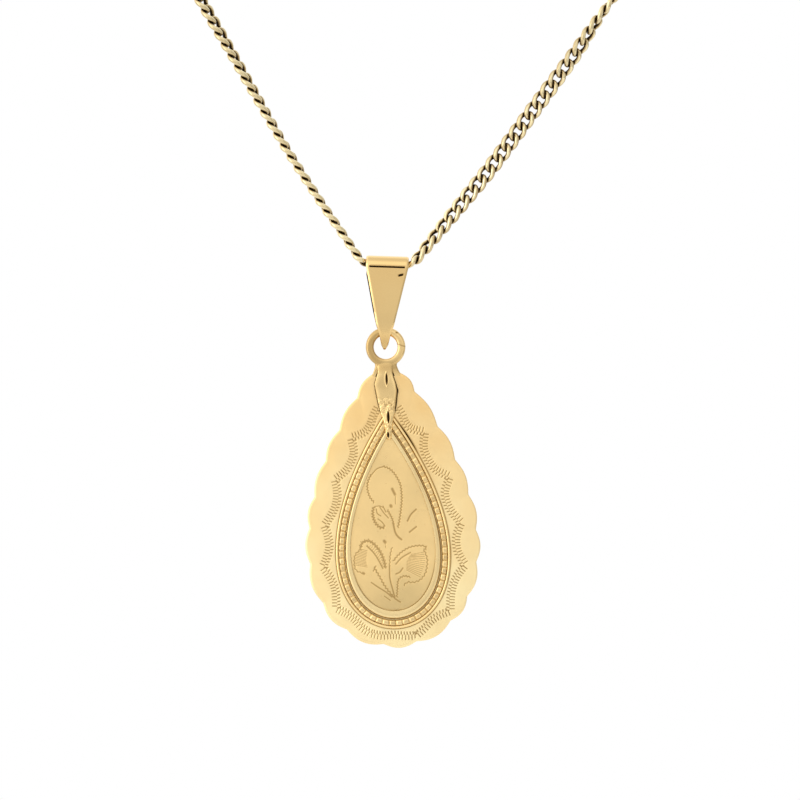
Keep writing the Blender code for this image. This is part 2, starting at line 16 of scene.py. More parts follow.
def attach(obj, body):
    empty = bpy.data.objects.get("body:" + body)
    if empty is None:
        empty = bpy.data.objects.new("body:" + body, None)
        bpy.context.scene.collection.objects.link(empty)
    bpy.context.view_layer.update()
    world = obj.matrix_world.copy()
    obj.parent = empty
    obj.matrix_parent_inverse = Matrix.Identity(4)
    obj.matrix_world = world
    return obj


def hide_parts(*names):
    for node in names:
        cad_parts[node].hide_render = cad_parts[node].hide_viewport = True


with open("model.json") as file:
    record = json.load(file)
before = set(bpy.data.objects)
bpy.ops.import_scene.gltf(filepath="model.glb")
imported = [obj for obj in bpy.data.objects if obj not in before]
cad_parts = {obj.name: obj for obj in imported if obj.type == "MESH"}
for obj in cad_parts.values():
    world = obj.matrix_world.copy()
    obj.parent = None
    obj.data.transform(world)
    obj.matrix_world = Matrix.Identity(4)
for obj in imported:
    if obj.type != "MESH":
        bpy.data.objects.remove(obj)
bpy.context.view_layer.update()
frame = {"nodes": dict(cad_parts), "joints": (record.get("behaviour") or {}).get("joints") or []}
joints = {joint["name"]: joint for joint in frame["joints"]}

MM = 0.001

# ---------------------------------------------------------------- dimensions (millimetres)
# The chain's route, as (x, z) in metres, left end first.
CHAIN_ROUTE = (
    (-0.02255, 0.03225), (-0.02025, 0.0282), (-0.0185, 0.0252), (-0.0152, 0.0194),
    (-0.0118, 0.0135), (-0.0080, 0.0076), (-0.0056, 0.0041), (-0.0040, 0.00175),
    (-0.0032, 0.00062), (-0.00245, 0.00012), (-0.0012, 0.00003), (0.0, 0.0),
    (0.0012, -0.00003), (0.00245, -0.00006), (0.0033, 0.0005), (0.0043, 0.0017),
    (0.00625, 0.0041), (0.0091, 0.0076), (0.01195, 0.0111), (0.0146, 0.01465),
    (0.0172, 0.0182), (0.0198, 0.0217), (0.0224, 0.02525), (0.0246, 0.0286), (0.0271, 0.0321),
)
# The spacing of the chain's points, and of the cord's, in metres.
ROUTE_STEP = 0.0001
CORD_STEP = 0.0014
LINK_PITCH = 1.54
LINK_WIRE = 0.56
LINK_WIDTH = 2.0
LINK_TWIST = math.radians(45)
# How far the end links' middles are from the route's ends, and how far those links overrun them.
LINK_INSET = 0.22
LINK_OVERRUN = 0.36
# Painted shade lies where two links are closer than this, and on each link's outer edge.
CREVICE = 0.36
LINK_EDGE_SHADE = 0.66
# The share of the edge's painted shade that is left where the chain stands edge-on.
EDGE_ON_SHADE = 0.35
# How wide the links are, as a share of the full width, at distances from the bail's middle.
BAIL_SQUEEZE = ((2.55, 0.45), (3.05, 1.0))
# How far the chain is turned about its own line: (share of the way, degrees). 0 shows its face.
CHAIN_ROLL = (
    (0.0, 58), (0.06, 62), (0.14, 72), (0.24, 82), (0.36, 88), (0.50, 90),
    (0.55, 62), (0.60, 40), (0.66, 16), (0.72, 2), (0.82, -4), (0.90, -34), (0.96, -78), (1.0, -108),
)

BAIL_TOP = 1.0
BAIL_FOLD = -0.30
BAIL_TIP = -10.04
BAIL_HALF_DEPTH = 1.38
BAIL_SHEET = 0.23
BAIL_SEAT = -8.66
# Half the bail's width at heights from its tip to its fold.
BAIL_HEIGHTS = (-10.04, -9.97, -9.75, -9.47, -9.10, -8.63, -7.79, -7.10, -0.30)
BAIL_HALF_WIDTHS = (0.10, 0.22, 0.39, 0.45, 0.50, 0.58, 0.82, 1.03, 2.50)
BAIL_LEAN = math.radians(1.88)
BAIL_EDGE = 0.24
BAIL_DENT = (1.63, -1.22)
BAIL_DENT_REACH = (0.30, 0.15)
BAIL_DENT_DEPTH = 0.05
BAIL_TIP_DARKENING = 0.30
BAIL_SIDE_DARKENING = 0.55
CREASE_Z = -0.30
CREASE_DEPTH = 0.08
CREASE_WIDTH = 0.11
RIDGE_RISE = 0.24
RIDGE_HEIGHT = 0.035
RIDGE_WIDTH = 0.09
BAIL_BACK_SHOW = 0.13

RING_CENTRE = -9.71
RING_RADIUS = 1.865
RING_WIRE = 0.475
# A round ring has a squareness of 1; this one's lower part is squarer.
RING_SQUARENESS = 0.62
RING_NICK = (1.37, -8.06)
RING_SEAM = (1.76, -9.54)

# The strap's sections: z, reach to the left and right, front and back (y).
STRAP_STATIONS = (
    (-11.25, 1.50, 1.38, -0.38, 0.36),
    (-11.5, 1.30, 1.12, -0.46, 0.34),
    (-11.9, 1.06, 0.84, -0.54, 0.25),
    (-12.3, 1.02, 0.74, -0.60, -0.10),
    (-12.7, 1.06, 0.72, -0.66, -0.20),
    (-13.3, 1.28, 0.88, -0.71, -0.20),
    (-14.0, 1.54, 1.12, -0.74, -0.20),
    (-14.9, 1.42, 1.28, -0.75, -0.20),
    (-16.0, 1.24, 1.14, -0.73, -0.20),
    (-16.8, 1.10, 1.02, -0.70, -0.20),
    (-17.4, 0.92, 0.88, -0.73, -0.20),
    (-18.0, 0.66, 0.66, -0.76, -0.20),
    (-18.8, 0.50, 0.50, -0.82, -0.20),
    (-19.5, 0.42, 0.42, -0.90, -0.20),
    (-20.2, 0.36, 0.36, -0.92, -0.20),
    (-20.6, 0.18, 0.18, -0.84, -0.20),
)
STRAP_Z, STRAP_LEFT, STRAP_RIGHT, STRAP_FRONT, STRAP_BACK = np.array(STRAP_STATIONS).T[:, ::-1]
# A small bump on the strap's right side.
STRAP_BUMP_Z = -14.84
STRAP_BUMP = 0.13
# The slits in the strap's face: the middle (x, z), half the width and half the length.
STRAP_SLITS = ((0.0, -13.48, 0.17, 0.78), (0.03, -17.95, 0.21, 0.80), (-0.07, -20.05, 0.19, 0.40))
SLIT_DEPTH = 0.12
LIP_HEIGHT = 0.05
# The shoulder behind the strap, where the ring meets the plate.
SHOULDER_STATIONS = (
    (-11.15, 1.52, 1.46, -0.40, 0.36),
    (-11.5, 1.38, 1.31, -0.46, 0.30),
    (-11.9, 1.31, 1.24, -0.46, 0.15),
    (-12.3, 1.42, 1.36, -0.38, 0.12),
    (-12.85, 1.68, 1.60, -0.20, 0.12),
    (-13.35, 1.76, 1.68, 0.02, 0.13),
)
# How wide the painted shade down each side of the strap is, from its top to its foot.
STRAP_LINE_Z = (-17.5, -16.9, -14.9, -13.5, -12.1)
STRAP_LINE_LEFT = (0.02, 0.11, 0.12, 0.09, 0.03)
STRAP_LINE_RIGHT = (0.02, 0.19, 0.20, 0.11, 0.04)
# Rough solder on the strap: (height, reach).
SOLDER = ((-16.65, 0.85), (-19.1, 0.75))
SOLDER_HEIGHT = 0.09
HANGER_VOXEL = 0.045

PLATE_TOP = -10.85
PLATE_BOTTOM = -44.75
PLATE_HALF_WIDTH = 9.9
PLATE_SHARPNESS = 0.91
PLATE_FRONT = -0.20
PLATE_BACK = 0.15
PLATE_FALL = 0.16
PLATE_EDGE_REACH = 0.42
PLATE_EDGE_DEPTH = 0.13
PLATE_NECK_Z = -12.2
PLATE_FIRST_CUSP_Z = -12.76
SCALLOP_RISE = 0.40
SCALLOP_SOFTNESS = 1.25
SCALLOP_SPANS = (
    2.8, 4.9, 4.4, 4.4, 4.2, 3.8, 4.2, 3.5, 4.7,
    3.9,
    4.7, 4.2, 4.9, 4.2, 3.7, 4.4, 4.0, 4.3, 3.4,
)
PLATE_COLUMNS = 1600
PLATE_ROWS = 50

BORDER = (-17.05, -42.85, 6.74, 0.95)
PANEL = (-19.95, -40.80, 5.02, 0.95)
RAISED_BACK = -0.24
BORDER_LIFT_Z = -20.3
WIRE_RADIUS = 0.15
WIRE_SHADE = 0.45
BEAD_INSETS = (0.34, 1.00)
BEAD_HEIGHT = 0.36
BEAD_FOOT = 0.06
BEAD_COUNT = 72
BEAD_COLUMNS = 16
RIM_INSET = 1.04
# The rim's height across its width, from its groove inwards.
RIM_SHARES = (0.0, 0.14, 0.20, 0.28, 0.40, 0.52, 0.66, 0.82, 1.0)
RIM_HEIGHTS = (0.08, 0.08, 0.35, 0.45, 0.49, 0.50, 0.495, 0.48, 0.46)
# Painted shade in the rim's groove.
RIM_GROOVE_SHADE = 0.52
# How much darker the rim's inner half is, and the most painted shade that its right side has.
RIM_DARKENING = (0.10, 0.24)
PANEL_HEIGHT = 0.22
PANEL_DOME = 0.10
PANEL_FALL_START = -36.2
PANEL_FALL = 0.19
PANEL_CUT_DEPTH = 0.04
PANEL_SOIL = 0.70
# How much broader than its graver each kind of cut in the panel is.
LINE_BREADTH = 1.7
WAVE_BREADTH = 1.5
COMB_BREADTH = 1.1

swing = joints["locket_swing"]["pos_m"]
upright = joints["lid_hinge"]["axis"]
LOCKET_SHIFT = swing[0] / MM
LOCKET_PIVOT = swing[2] / MM
LOCKET_LEAN = math.atan2(upright[0], upright[2])

# The wriggle-cut garland: swags between these points, down the left and down the right.
GARLAND_LEFT = (
    (-1.30, -16.60), (-4.57, -20.13), (-6.69, -25.00), (-8.13, -30.36), (-8.49, -35.30),
    (-7.08, -40.29), (-3.07, -43.50),
)
GARLAND_RIGHT = (
    (1.30, -16.60), (4.44, -19.76), (7.18, -25.16), (8.35, -30.62), (8.63, -35.69),
    (6.67, -41.11), (2.50, -43.94),
)
# A swag's line: (share of the way between its ends, gap to the border).
SWAG = ((0.0, -0.30), (0.25, 0.90), (0.5, 0.66), (0.75, 0.90), (1.0, -0.30))
# Its two rows of cuts: offset from that line, half length, slant, phase, width.
GARLAND_ROWS = ((-0.27, 0.27, 0.0, 0.0, 0.19), (0.23, 0.14, -0.2, 0.5, 0.22))
GARLAND_PITCH = 0.37
GARLAND_DEPTH = 0.07
GARLAND_SOIL = 0.84


# ---------------------------------------------------------------- mesh helpers
def lean(points, angle, pivot, shift=0.0):
    """Turn points about the Y direction round (0, pivot), then move them along X."""
    points = np.array(points, float)
    across = points[..., 0].copy()
    up = points[..., 2] - pivot
    points[..., 0] = across * math.cos(angle) + up * math.sin(angle) + shift
    points[..., 2] = up * math.cos(angle) - across * math.sin(angle) + pivot
    return points


def locket_place(points):
    return lean(points, LOCKET_LEAN, LOCKET_PIVOT, LOCKET_SHIFT)


def bail_place(points):
    return lean(points, BAIL_LEAN, 0.0)


class Shape:
    """Closed surfaces for one mesh, with the dirt and painted shade (0 to 1) that lie at each point."""

    def __init__(self):
        self.points = []
        self.faces = []
        self.dirt_and_shade = []
        self.count = 0

    def add(self, grid, wrap_rows=False, caps=False, dirt_and_shade=None):
        """Add a grid of points (rows, columns, 3) whose rows are loops, with its two ends
        joined to each other or capped."""
        rows, columns = grid.shape[:2]
        index = np.arange(rows * columns).reshape(rows, columns) + self.count
        if caps:
            self.faces.append(index[0].tolist())
            self.faces.append(index[-1][::-1].tolist())
        if wrap_rows:
            index = np.vstack([index, index[:1]])
        index = np.hstack([index, index[:, :1]])
        quads = np.stack([index[:-1, :-1], index[:-1, 1:], index[1:, 1:], index[1:, :-1]], -1)
        self.faces += quads.reshape(-1, 4).tolist()
        self.points.append(grid.reshape(-1, 3))
        self.dirt_and_shade.append(np.zeros(rows * columns) if dirt_and_shade is None else np.clip(dirt_and_shade, 0, 1).ravel())
        self.count += rows * columns

    def build(self, name, place=None):
        points = np.vstack(self.points)
        if place is not None:
            points = place(points)
        mesh = bpy.data.meshes.new(name)
        mesh.from_pydata((points * MM).tolist(), [], self.faces)
        shape = bmesh.new()
        shape.from_mesh(mesh)
        bmesh.ops.recalc_face_normals(shape, faces=shape.faces)
        shape.to_mesh(mesh)
        shape.free()
        mesh.shade_smooth()
        layer = mesh.attributes.new("dirt_and_shade", "FLOAT", "POINT")
        layer.data.foreach_set("value", np.concatenate(self.dirt_and_shade).astype(np.float32))
        obj = bpy.data.objects.new(name, mesh)
        bpy.context.scene.collection.objects.link(obj)
        return obj


def finish_piece(obj, material, body, node, sharp=None):
    """Give a piece its material and its place in the frame; edges over the angle sharp stay crisp."""
    if sharp:
        obj.data.set_sharp_from_angle(angle=math.radians(sharp))
    obj.data.materials.append(material)
    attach(obj, body)
    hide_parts(node)


def locket_piece(name, grid, dirt_and_shade, material, node, caps=False, sharp=None):
    """A piece of the locket made of one grid, capped at its ends or closed on itself."""
    shape = Shape()
    shape.add(grid, wrap_rows=not caps, caps=caps, dirt_and_shade=dirt_and_shade)
    finish_piece(shape.build(name, locket_place), material, "locket", node, sharp)


def tube_grid(centres, sideways, upwards, radius, sides, roundness=1.0):
    """Rings of points round a line of centres; a roundness under 1 makes them squarer."""
    turn = circle(sides)[None, :, None]
    power = np.broadcast_to(roundness, len(centres))[:, None, None]
    cos, sin = squarish(np.cos(turn), power), squarish(np.sin(turn), power)
    return centres[:, None] + radius * (sideways[:, None] * cos + upwards[:, None] * sin)


def circle(count):
    return np.arange(count) * 2 * math.pi / count


def squarish(wave, power):
    """A wave between -1 and 1 with its corners pushed out, for a power under 1."""
    return np.sign(wave) * np.abs(wave) ** power


def unit(vectors):
    return vectors / np.linalg.norm(vectors, axis=-1, keepdims=True)


def rise(values, start, end):
    """0 at start, 1 at end, a straight slope between them and level beyond."""
    return np.clip((values - start) / (end - start), 0, 1)


def bell(values, middle, reach, power=2):
    """1 at the middle, fading out over the reach; a higher power has a flatter top."""
    return np.exp(-(((values - middle) / reach) ** power))


def run_of(line):
    """How far along a line each of its points is."""
    return np.concatenate([[0], np.cumsum(np.linalg.norm(np.diff(line, axis=0), axis=1))])


def along_line(line, at, where):
    """Points at the distances where, on a line whose own points are at the distances at."""
    return np.stack([np.interp(where, at, line[:, i]) for i in range(2)], 1)


def resample(points, count):
    """The same line as count points, evenly spread."""
    points = np.array(points)
    run = run_of(points)
    return along_line(points, run, np.linspace(0, run[-1], count))


def curve_through(points, steps=8):
    """A smooth line through points in (x, z)."""
    points = np.array(points, float)
    if len(points) < 3:
        return points
    ends = np.vstack([2 * points[0] - points[1], points, 2 * points[-1] - points[-2]])
    share = (np.arange(steps) / steps)[:, None]
    fine = []
    for before, start, end, after in zip(ends, ends[1:], ends[2:], ends[3:]):
        fine.append((
            2 * start
            + (end - before) * share
            + (2 * before - 5 * start + 4 * end - after) * share**2
            + (3 * start - before - 3 * end + after) * share**3
        ) / 2)
    return np.vstack(fine + [points[-1:]])


# ---------------------------------------------------------------- materials
def add_node(tree, kind, inputs=None, **settings):
    """A node with each of its inputs set to a value or linked from another node's socket."""
    made = tree.nodes.new(kind)
    for name, value in settings.items():
        setattr(made, name, value)
    for name, value in (inputs or {}).items():
        if isinstance(value, bpy.types.NodeSocket):
            tree.links.new(value, made.inputs[name])
        else:
            made.inputs[name].default_value = value
    return made


def noise_node(tree, place, scale, detail):
    """Noise over the object's own coordinates; the scale is per metre."""
    inputs = {"Vector": place.outputs["Object"], "Scale": scale, "Detail": detail}
    return add_node(tree, "ShaderNodeTexNoise", inputs).outputs["Fac"]


def math_node(tree, operation, *values, clamp=False):
    inputs = dict(enumerate(values))
    made = add_node(tree, "ShaderNodeMath", inputs, operation=operation, use_clamp=clamp)
    return made.outputs["Value"]


def map_node(tree, value, low, high, to_low=0.0, to_high=1.0):
    """A value between low and high, brought between two others."""
    return add_node(tree, "ShaderNodeMapRange", {
        "Value": value, "From Min": low, "From Max": high, "To Min": to_low, "To Max": to_high,
    }).outputs["Result"]


def new_material(name):
    """A material, and its node tree, shader and texture coordinates."""
    material = bpy.data.materials.new(name)
    material.use_nodes = True
    tree = material.node_tree
    return material, tree, tree.nodes["Principled BSDF"], add_node(tree, "ShaderNodeTexCoord")


def gold(name, pale, deep, roughness, grain=0.02, upper=None):
    """Worn gold: its tone drifts, fine scratches blur its shine, and dirt and painted shade, stored at
    each point, turn it brown and then black.

    With upper given as two heights, the deeper tone gathers between the first and the second.
    """
    material, tree, shader, place = new_material(name)
    shader.inputs["Metallic"].default_value = 1.0
    share = noise_node(tree, place, DRIFT_SCALE, 2.0)
    if upper:
        split = add_node(tree, "ShaderNodeSeparateXYZ", {"Vector": place.outputs["Object"]})
        climb = map_node(tree, split.outputs["Z"], upper[0] * MM, upper[1] * MM, -0.35, 0.45)
        share = math_node(tree, "ADD", share, climb, clamp=True)
    tone = mix_node(tree, share, (*pale, 1.0), (*deep, 1.0))
    grime_and_shade = add_node(tree, "ShaderNodeAttribute", attribute_name="dirt_and_shade").outputs["Fac"]
    soiled_and_shaded = mix_node(tree, grime_and_shade, tone, (*BROWN, 1.0))
    blackened = mix_node(tree, map_node(tree, grime_and_shade, BLACK_FROM, 1.0), soiled_and_shaded, (*BLACK, 1.0))
    tree.links.new(blackened, shader.inputs["Base Color"])
    wear = noise_node(tree, place, WEAR_SCALE, 3.0)
    blur = map_node(tree, wear, 0.3, 0.7, roughness * 0.85, roughness * 1.2)
    dull = math_node(tree, "MULTIPLY", grime_and_shade, DIRT_ROUGHNESS)
    tree.links.new(math_node(tree, "MAXIMUM", dull, blur), shader.inputs["Roughness"])
    scratch = noise_node(tree, place, SCRATCH_SCALE, 4.0)
    inputs = {"Strength": grain, "Distance": SCRATCH_DEPTH, "Height": scratch}
    bump = add_node(tree, "ShaderNodeBump", inputs)
    tree.links.new(bump.outputs["Normal"], shader.inputs["Normal"])
    return material


def mix_node(tree, factor, first, second, blend="MIX"):
    """Two colours, each a socket or a fixed value, mixed into a third."""
    inputs = {0: factor, 6: first, 7: second}
    return add_node(tree, "ShaderNodeMix", inputs, data_type="RGBA", blend_type=blend).outputs[2]


def plain(name, light, dark, roughness, metallic=0.0, alpha=1.0):
    """An even material whose tone varies a little from place to place."""
    material, tree, shader, place = new_material(name)
    shader.inputs["Roughness"].default_value = roughness
    shader.inputs["Metallic"].default_value = metallic
    shader.inputs["Alpha"].default_value = alpha
    drift = noise_node(tree, place, MOTTLE_SCALE, 4.0)
    tree.links.new(mix_node(tree, drift, (*light, 1.0), (*dark, 1.0)), shader.inputs["Base Color"])
    return material


# The colours that patina, dirt and painted shade turn gold towards.
BROWN = (0.27, 0.145, 0.032)
BLACK = (0.02, 0.012, 0.005)
BLACK_FROM = 0.86
DIRT_ROUGHNESS = 0.55
# Noise scales, per metre: the drift of gold's tone, its wear, its scratches; other materials.
DRIFT_SCALE = 180.0
WEAR_SCALE = 2400.0
SCRATCH_SCALE = 5200.0
MOTTLE_SCALE = 1500.0
SCRATCH_DEPTH = 0.00002
POLISHED = gold("polished_gold", (0.97, 0.74, 0.37), (0.93, 0.66, 0.29), 0.14)
BAIL_GOLD = gold("bail_gold", (0.87, 0.64, 0.30), (0.83, 0.55, 0.22), 0.12)
HANGER_GOLD = gold("hanger_gold", (0.87, 0.64, 0.30), (0.82, 0.57, 0.25), 0.17)
PLATE_GOLD = gold("plate_gold", (0.99, 0.81, 0.44), (0.86, 0.57, 0.235), 0.36, 0.01, (-36.0, -13.0))
LID_GOLD = gold("lid_gold", (0.88, 0.64, 0.29), (0.80, 0.55, 0.23), 0.20, 0.01)
# The panel's tone deepens towards its bottom: a painted dark reflection.
PANEL_GOLD = gold("panel_gold", (0.92, 0.66, 0.30), (0.68, 0.50, 0.23), 0.32, 0.01, (-35.0, -41.0))
CHAIN_GOLD = gold("chain_gold", (0.98, 0.87, 0.55), (0.88, 0.72, 0.40), 0.14)
RIM_GOLD = gold("rim_gold", (0.90, 0.71, 0.37), (0.85, 0.64, 0.31), 0.30, 0.01)
STEEL = plain("spring_steel", (0.62, 0.61, 0.59), (0.50, 0.49, 0.47), 0.3, 1.0)
CARD = plain("photo_card", (0.90, 0.87, 0.80), (0.84, 0.80, 0.72), 0.75)
COVER = plain("clear_cover", (0.95, 0.96, 0.94), (0.91, 0.92, 0.90), 0.06, 0.0, 0.35)


# ---------------------------------------------------------------- camera
def build_camera():
    data = bpy.data.cameras.new("camera")
    camera = bpy.data.objects.new("camera", data)
    bpy.context.scene.collection.objects.link(camera)
    distance = 0.9
    view_width = 0.09412
    data.sensor_width = 36.0
    data.lens = data.sensor_width * distance / view_width
    data.clip_start = 0.01
    camera.location = (0.001494, -distance, -0.015941)
    camera.rotation_euler = (math.pi / 2, 0.0, 0.0)
    bpy.context.scene.camera = camera


# ---------------------------------------------------------------- chain
def smooth_route(step):
    """The chain's line as points about a step apart, in metres, and its length."""
    fine = curve_through(CHAIN_ROUTE, 20)
    length = run_of(fine)[-1]
    return resample(fine, round(length / step) + 1), length


def build_chain():
    line, length = smooth_route(ROUTE_STEP)
    line = line / MM
    total = length / MM
    at = np.linspace(0, total, len(line))
    # the line runs on straight past both ends, so that the end links can reach over
    steps = np.arange(60, 0, -1)
    line = np.vstack([
        line[0] + (line[0] - line[1]) * steps[:, None],
        line,
        line[-1] + (line[-1] - line[-2]) * steps[::-1, None],
    ])
    at = np.concatenate([-at[1] * steps, at, total + at[1] * steps[::-1]])
    slope = unit(np.gradient(line, axis=0))
    roll_at, roll = np.array(CHAIN_ROLL).T
    squeeze_at, squeeze = np.array(BAIL_SQUEEZE).T
    count = round((total + 2 * LINK_OVERRUN) / LINK_PITCH)
    reach_along = (LINK_PITCH + LINK_WIRE) / 2
    reach_across = (LINK_WIDTH - LINK_WIRE) / 2
    turn = circle(40)
    along = reach_along * np.cos(turn)
    depth = np.array([0.0, 1.0, 0.0])
    links = []
    for middle in np.linspace(LINK_INSET, total - LINK_INSET, count):
        where = middle + along
        centre = along_line(line, at, where)
        across = reach_across * np.sin(turn) * np.interp(np.abs(centre[:, 0]), squeeze_at, squeeze)
        tangent = unit(along_line(slope, at, where))
        normal = np.stack([-tangent[:, 1], 0 * where, tangent[:, 0]], 1)
        angle = np.radians(np.interp(where / total, roll_at, roll)) + LINK_TWIST * np.cos(turn)
        width = np.cos(angle)[:, None] * normal + np.sin(angle)[:, None] * depth
        level = -np.sin(angle)[:, None] * normal + np.cos(angle)[:, None] * depth
        centres = np.stack([centre[:, 0], 0 * where, centre[:, 1]], 1) + width * across[:, None]
        wire = unit(np.roll(centres, -1, 0) - np.roll(centres, 1, 0))
        level = unit(level - wire * np.sum(level * wire, 1, keepdims=True))
        grid = tube_grid(centres, np.cross(wire, level), level, LINK_WIRE / 2, 12)
        out = unit(centres - centres.mean(0))
        facing = np.sum((grid - centres[:, None]) * out[:, None], 2) / (LINK_WIRE / 2)
        face_on = abs(math.cos(math.radians(np.interp(middle / total, roll_at, roll))))
        links.append((centres, grid, facing, EDGE_ON_SHADE + (1 - EDGE_ON_SHADE) * face_on))
    shape = Shape()
    for i, (_, grid, facing, soiled_and_shaded) in enumerate(links):
        beside = np.vstack([links[j][0] for j in (i - 1, i + 1) if 0 <= j < count])
        gap = np.linalg.norm(grid[:, :, None] - beside, axis=3).min(2) - LINK_WIRE / 2
        # painted shade where links cross, inside each link and, less, round its outer edge
        shape.add(grid, wrap_rows=True, dirt_and_shade=np.maximum.reduce([
            (CREVICE - gap) * 7,
            (-0.2 - facing) * 2.2,
            np.clip((facing - 0.3) * 1.2, 0, LINK_EDGE_SHADE) * soiled_and_shaded,
        ]))
    chain = shape.build("chain_links")
    finish_piece(chain, CHAIN_GOLD, "chain", "curb_chain")
    points, length = smooth_route(CORD_STEP)


# ---------------------------------------------------------------- bail
def bail_side(top, bottom, half_depth, squareness):
    """The bail's side view as (y, z), from the top over the front (-Y) and round."""
    over = np.linspace(0, math.pi / 2, 25)[:-1]
    head = np.stack([half_depth * np.sin(over), BAIL_FOLD + (top - BAIL_FOLD) * np.cos(over)], 1)
    drop = np.concatenate([
        np.linspace(0, 0.15, 51)[:-1], np.sin(np.linspace(math.asin(0.15), math.pi / 2, 80)) * 0.999999,
    ])
    side = np.stack([
        half_depth * np.sqrt(1 - drop**squareness), BAIL_FOLD + (bottom - BAIL_FOLD) * drop,
    ], 1)
    half = np.vstack([head, side])
    return np.vstack([half * (-1, 1), half[1:-1][::-1]])


def build_bail():
    outer = bail_side(BAIL_TOP, BAIL_TIP, BAIL_HALF_DEPTH, 3.5)
    inner = bail_side(BAIL_TOP - BAIL_SHEET, BAIL_SEAT, BAIL_HALF_DEPTH - BAIL_SHEET, 7)
    crease = bell(outer[:, 1], CREASE_Z, CREASE_WIDTH, 4)
    ridge = bell(outer[:, 1], CREASE_Z + RIDGE_RISE, RIDGE_WIDTH)
    ahead = np.sign(outer[:, 0])
    # the section across the band: share of its width, inset from its edge, share of its thickness
    face = [(share, -abs(share), 1.0) for share in np.linspace(-1, 1, 49)]
    right = [
        (1.0, -0.92, 0.98), (1.0, -0.12, 0.60), (1.0, 0.0, 0.48), (1.0, 0.0, 0.20), (1.0, -0.08, 0.04),
    ]
    under = [(share, -abs(share), 0.0) for share in np.linspace(1, -1, 7)]
    left = [(-share, inset, depth) for share, inset, depth in right[::-1]]
    rows = []
    dirt_and_shade = []
    for share, inset, depth in face + right + under + left:
        line = inner + (outer - inner) * depth
        height = line[:, 1]
        half_width = np.interp(height, BAIL_HEIGHTS, BAIL_HALF_WIDTHS)
        x = share * half_width + np.sign(share) * inset * np.minimum(BAIL_EDGE, half_width * 0.4)
        soil_and_shade = np.zeros(len(line))
        if depth > 0.9:
            within = float(abs(share) < 0.93)
            line[:, 0] += ahead * within * (RIDGE_HEIGHT * ridge - CREASE_DEPTH * crease)
            # painted shade along the crease, and the face darker towards the tip
            soil_and_shade = np.maximum(within * crease * 1.5, BAIL_TIP_DARKENING * rise(height, -7.8, -9.0))
        elif share == -1.0:
            # the back leg shows past the front one down its left side, painted dark there as shade
            soil_and_shade = (line[:, 0] > 0) * rise(height, -0.7, -1.2) * rise(height, -8.6, -5.6)
            x -= BAIL_BACK_SHOW * soil_and_shade
        if 0 < depth < 0.9:
            soil_and_shade = np.maximum(soil_and_shade, BAIL_SIDE_DARKENING * rise(height, -8.9, -9.7))
        rows.append(np.stack([x, line[:, 0], height], 1))
        dirt_and_shade.append(soil_and_shade)
    grid = np.stack(rows, 1)
    mark_x, mark_z = BAIL_DENT
    slope = (grid[..., 2] - mark_z) - 0.25 * (grid[..., 0] - mark_x)
    dent = bell(grid[..., 0], mark_x, BAIL_DENT_REACH[0], 4) * bell(slope, 0, BAIL_DENT_REACH[1], 4)
    dent *= grid[..., 1] < -BAIL_HALF_DEPTH * 0.9
    grid[..., 1] += dent * BAIL_DENT_DEPTH
    shape = Shape()
    # the dent gets a painted dark reflection
    shape.add(grid, wrap_rows=True, dirt_and_shade=np.maximum(np.stack(dirt_and_shade, 1), dent * 2.2))
    bail = shape.build("bail_loop", bail_place)
    finish_piece(bail, BAIL_GOLD, "bail", "bail", 16)


# ---------------------------------------------------------------- hanger
def oval_sections(z, left, right, front, back):
    """Level sections, squarish in depth, each with its own reach to the sides, front and back."""
    across = squarish(np.cos(circle(96)), 0.8)
    deep = squarish(np.sin(circle(96)), 0.55)
    z, left, right, front, back = [values[:, None] for values in (z, left, right, front, back)]
    x = across * np.where(across > 0, right, left)
    return np.stack([x, (front + back) / 2 - deep * (back - front) / 2, z + 0 * x], 2)


def rough_hanger():
    """The strap, the shoulder behind it and the ring, still as three bodies that run together."""
    z = np.linspace(STRAP_Z[0], STRAP_Z[-1], 170)
    stations = (STRAP_LEFT, STRAP_RIGHT, STRAP_FRONT, STRAP_BACK)
    sides = [np.interp(z, STRAP_Z, reach) for reach in stations]
    sides[1] += STRAP_BUMP * bell(z, STRAP_BUMP_Z, STRAP_BUMP)
    sides = [np.convolve(np.pad(reach, 4, mode="edge"), np.ones(9) / 9, "valid") for reach in sides]
    shape = Shape()
    shape.add(oval_sections(z, *sides), caps=True)
    shape.add(oval_sections(*np.array(SHOULDER_STATIONS).T), caps=True)
    turn = circle(96)
    outward = np.stack([np.cos(turn), 0 * turn, np.sin(turn)], 1)
    centres = RING_RADIUS * outward + (0.0, 0.0, RING_CENTRE)
    forward = np.tile((0.0, 1.0, 0.0), (len(turn), 1))
    roundness = RING_SQUARENESS + (1 - RING_SQUARENESS) * bell(turn, math.pi / 2, 1.0, 4)
    shape.add(tube_grid(centres, outward, forward, RING_WIRE, 28, roundness), wrap_rows=True)
    return shape


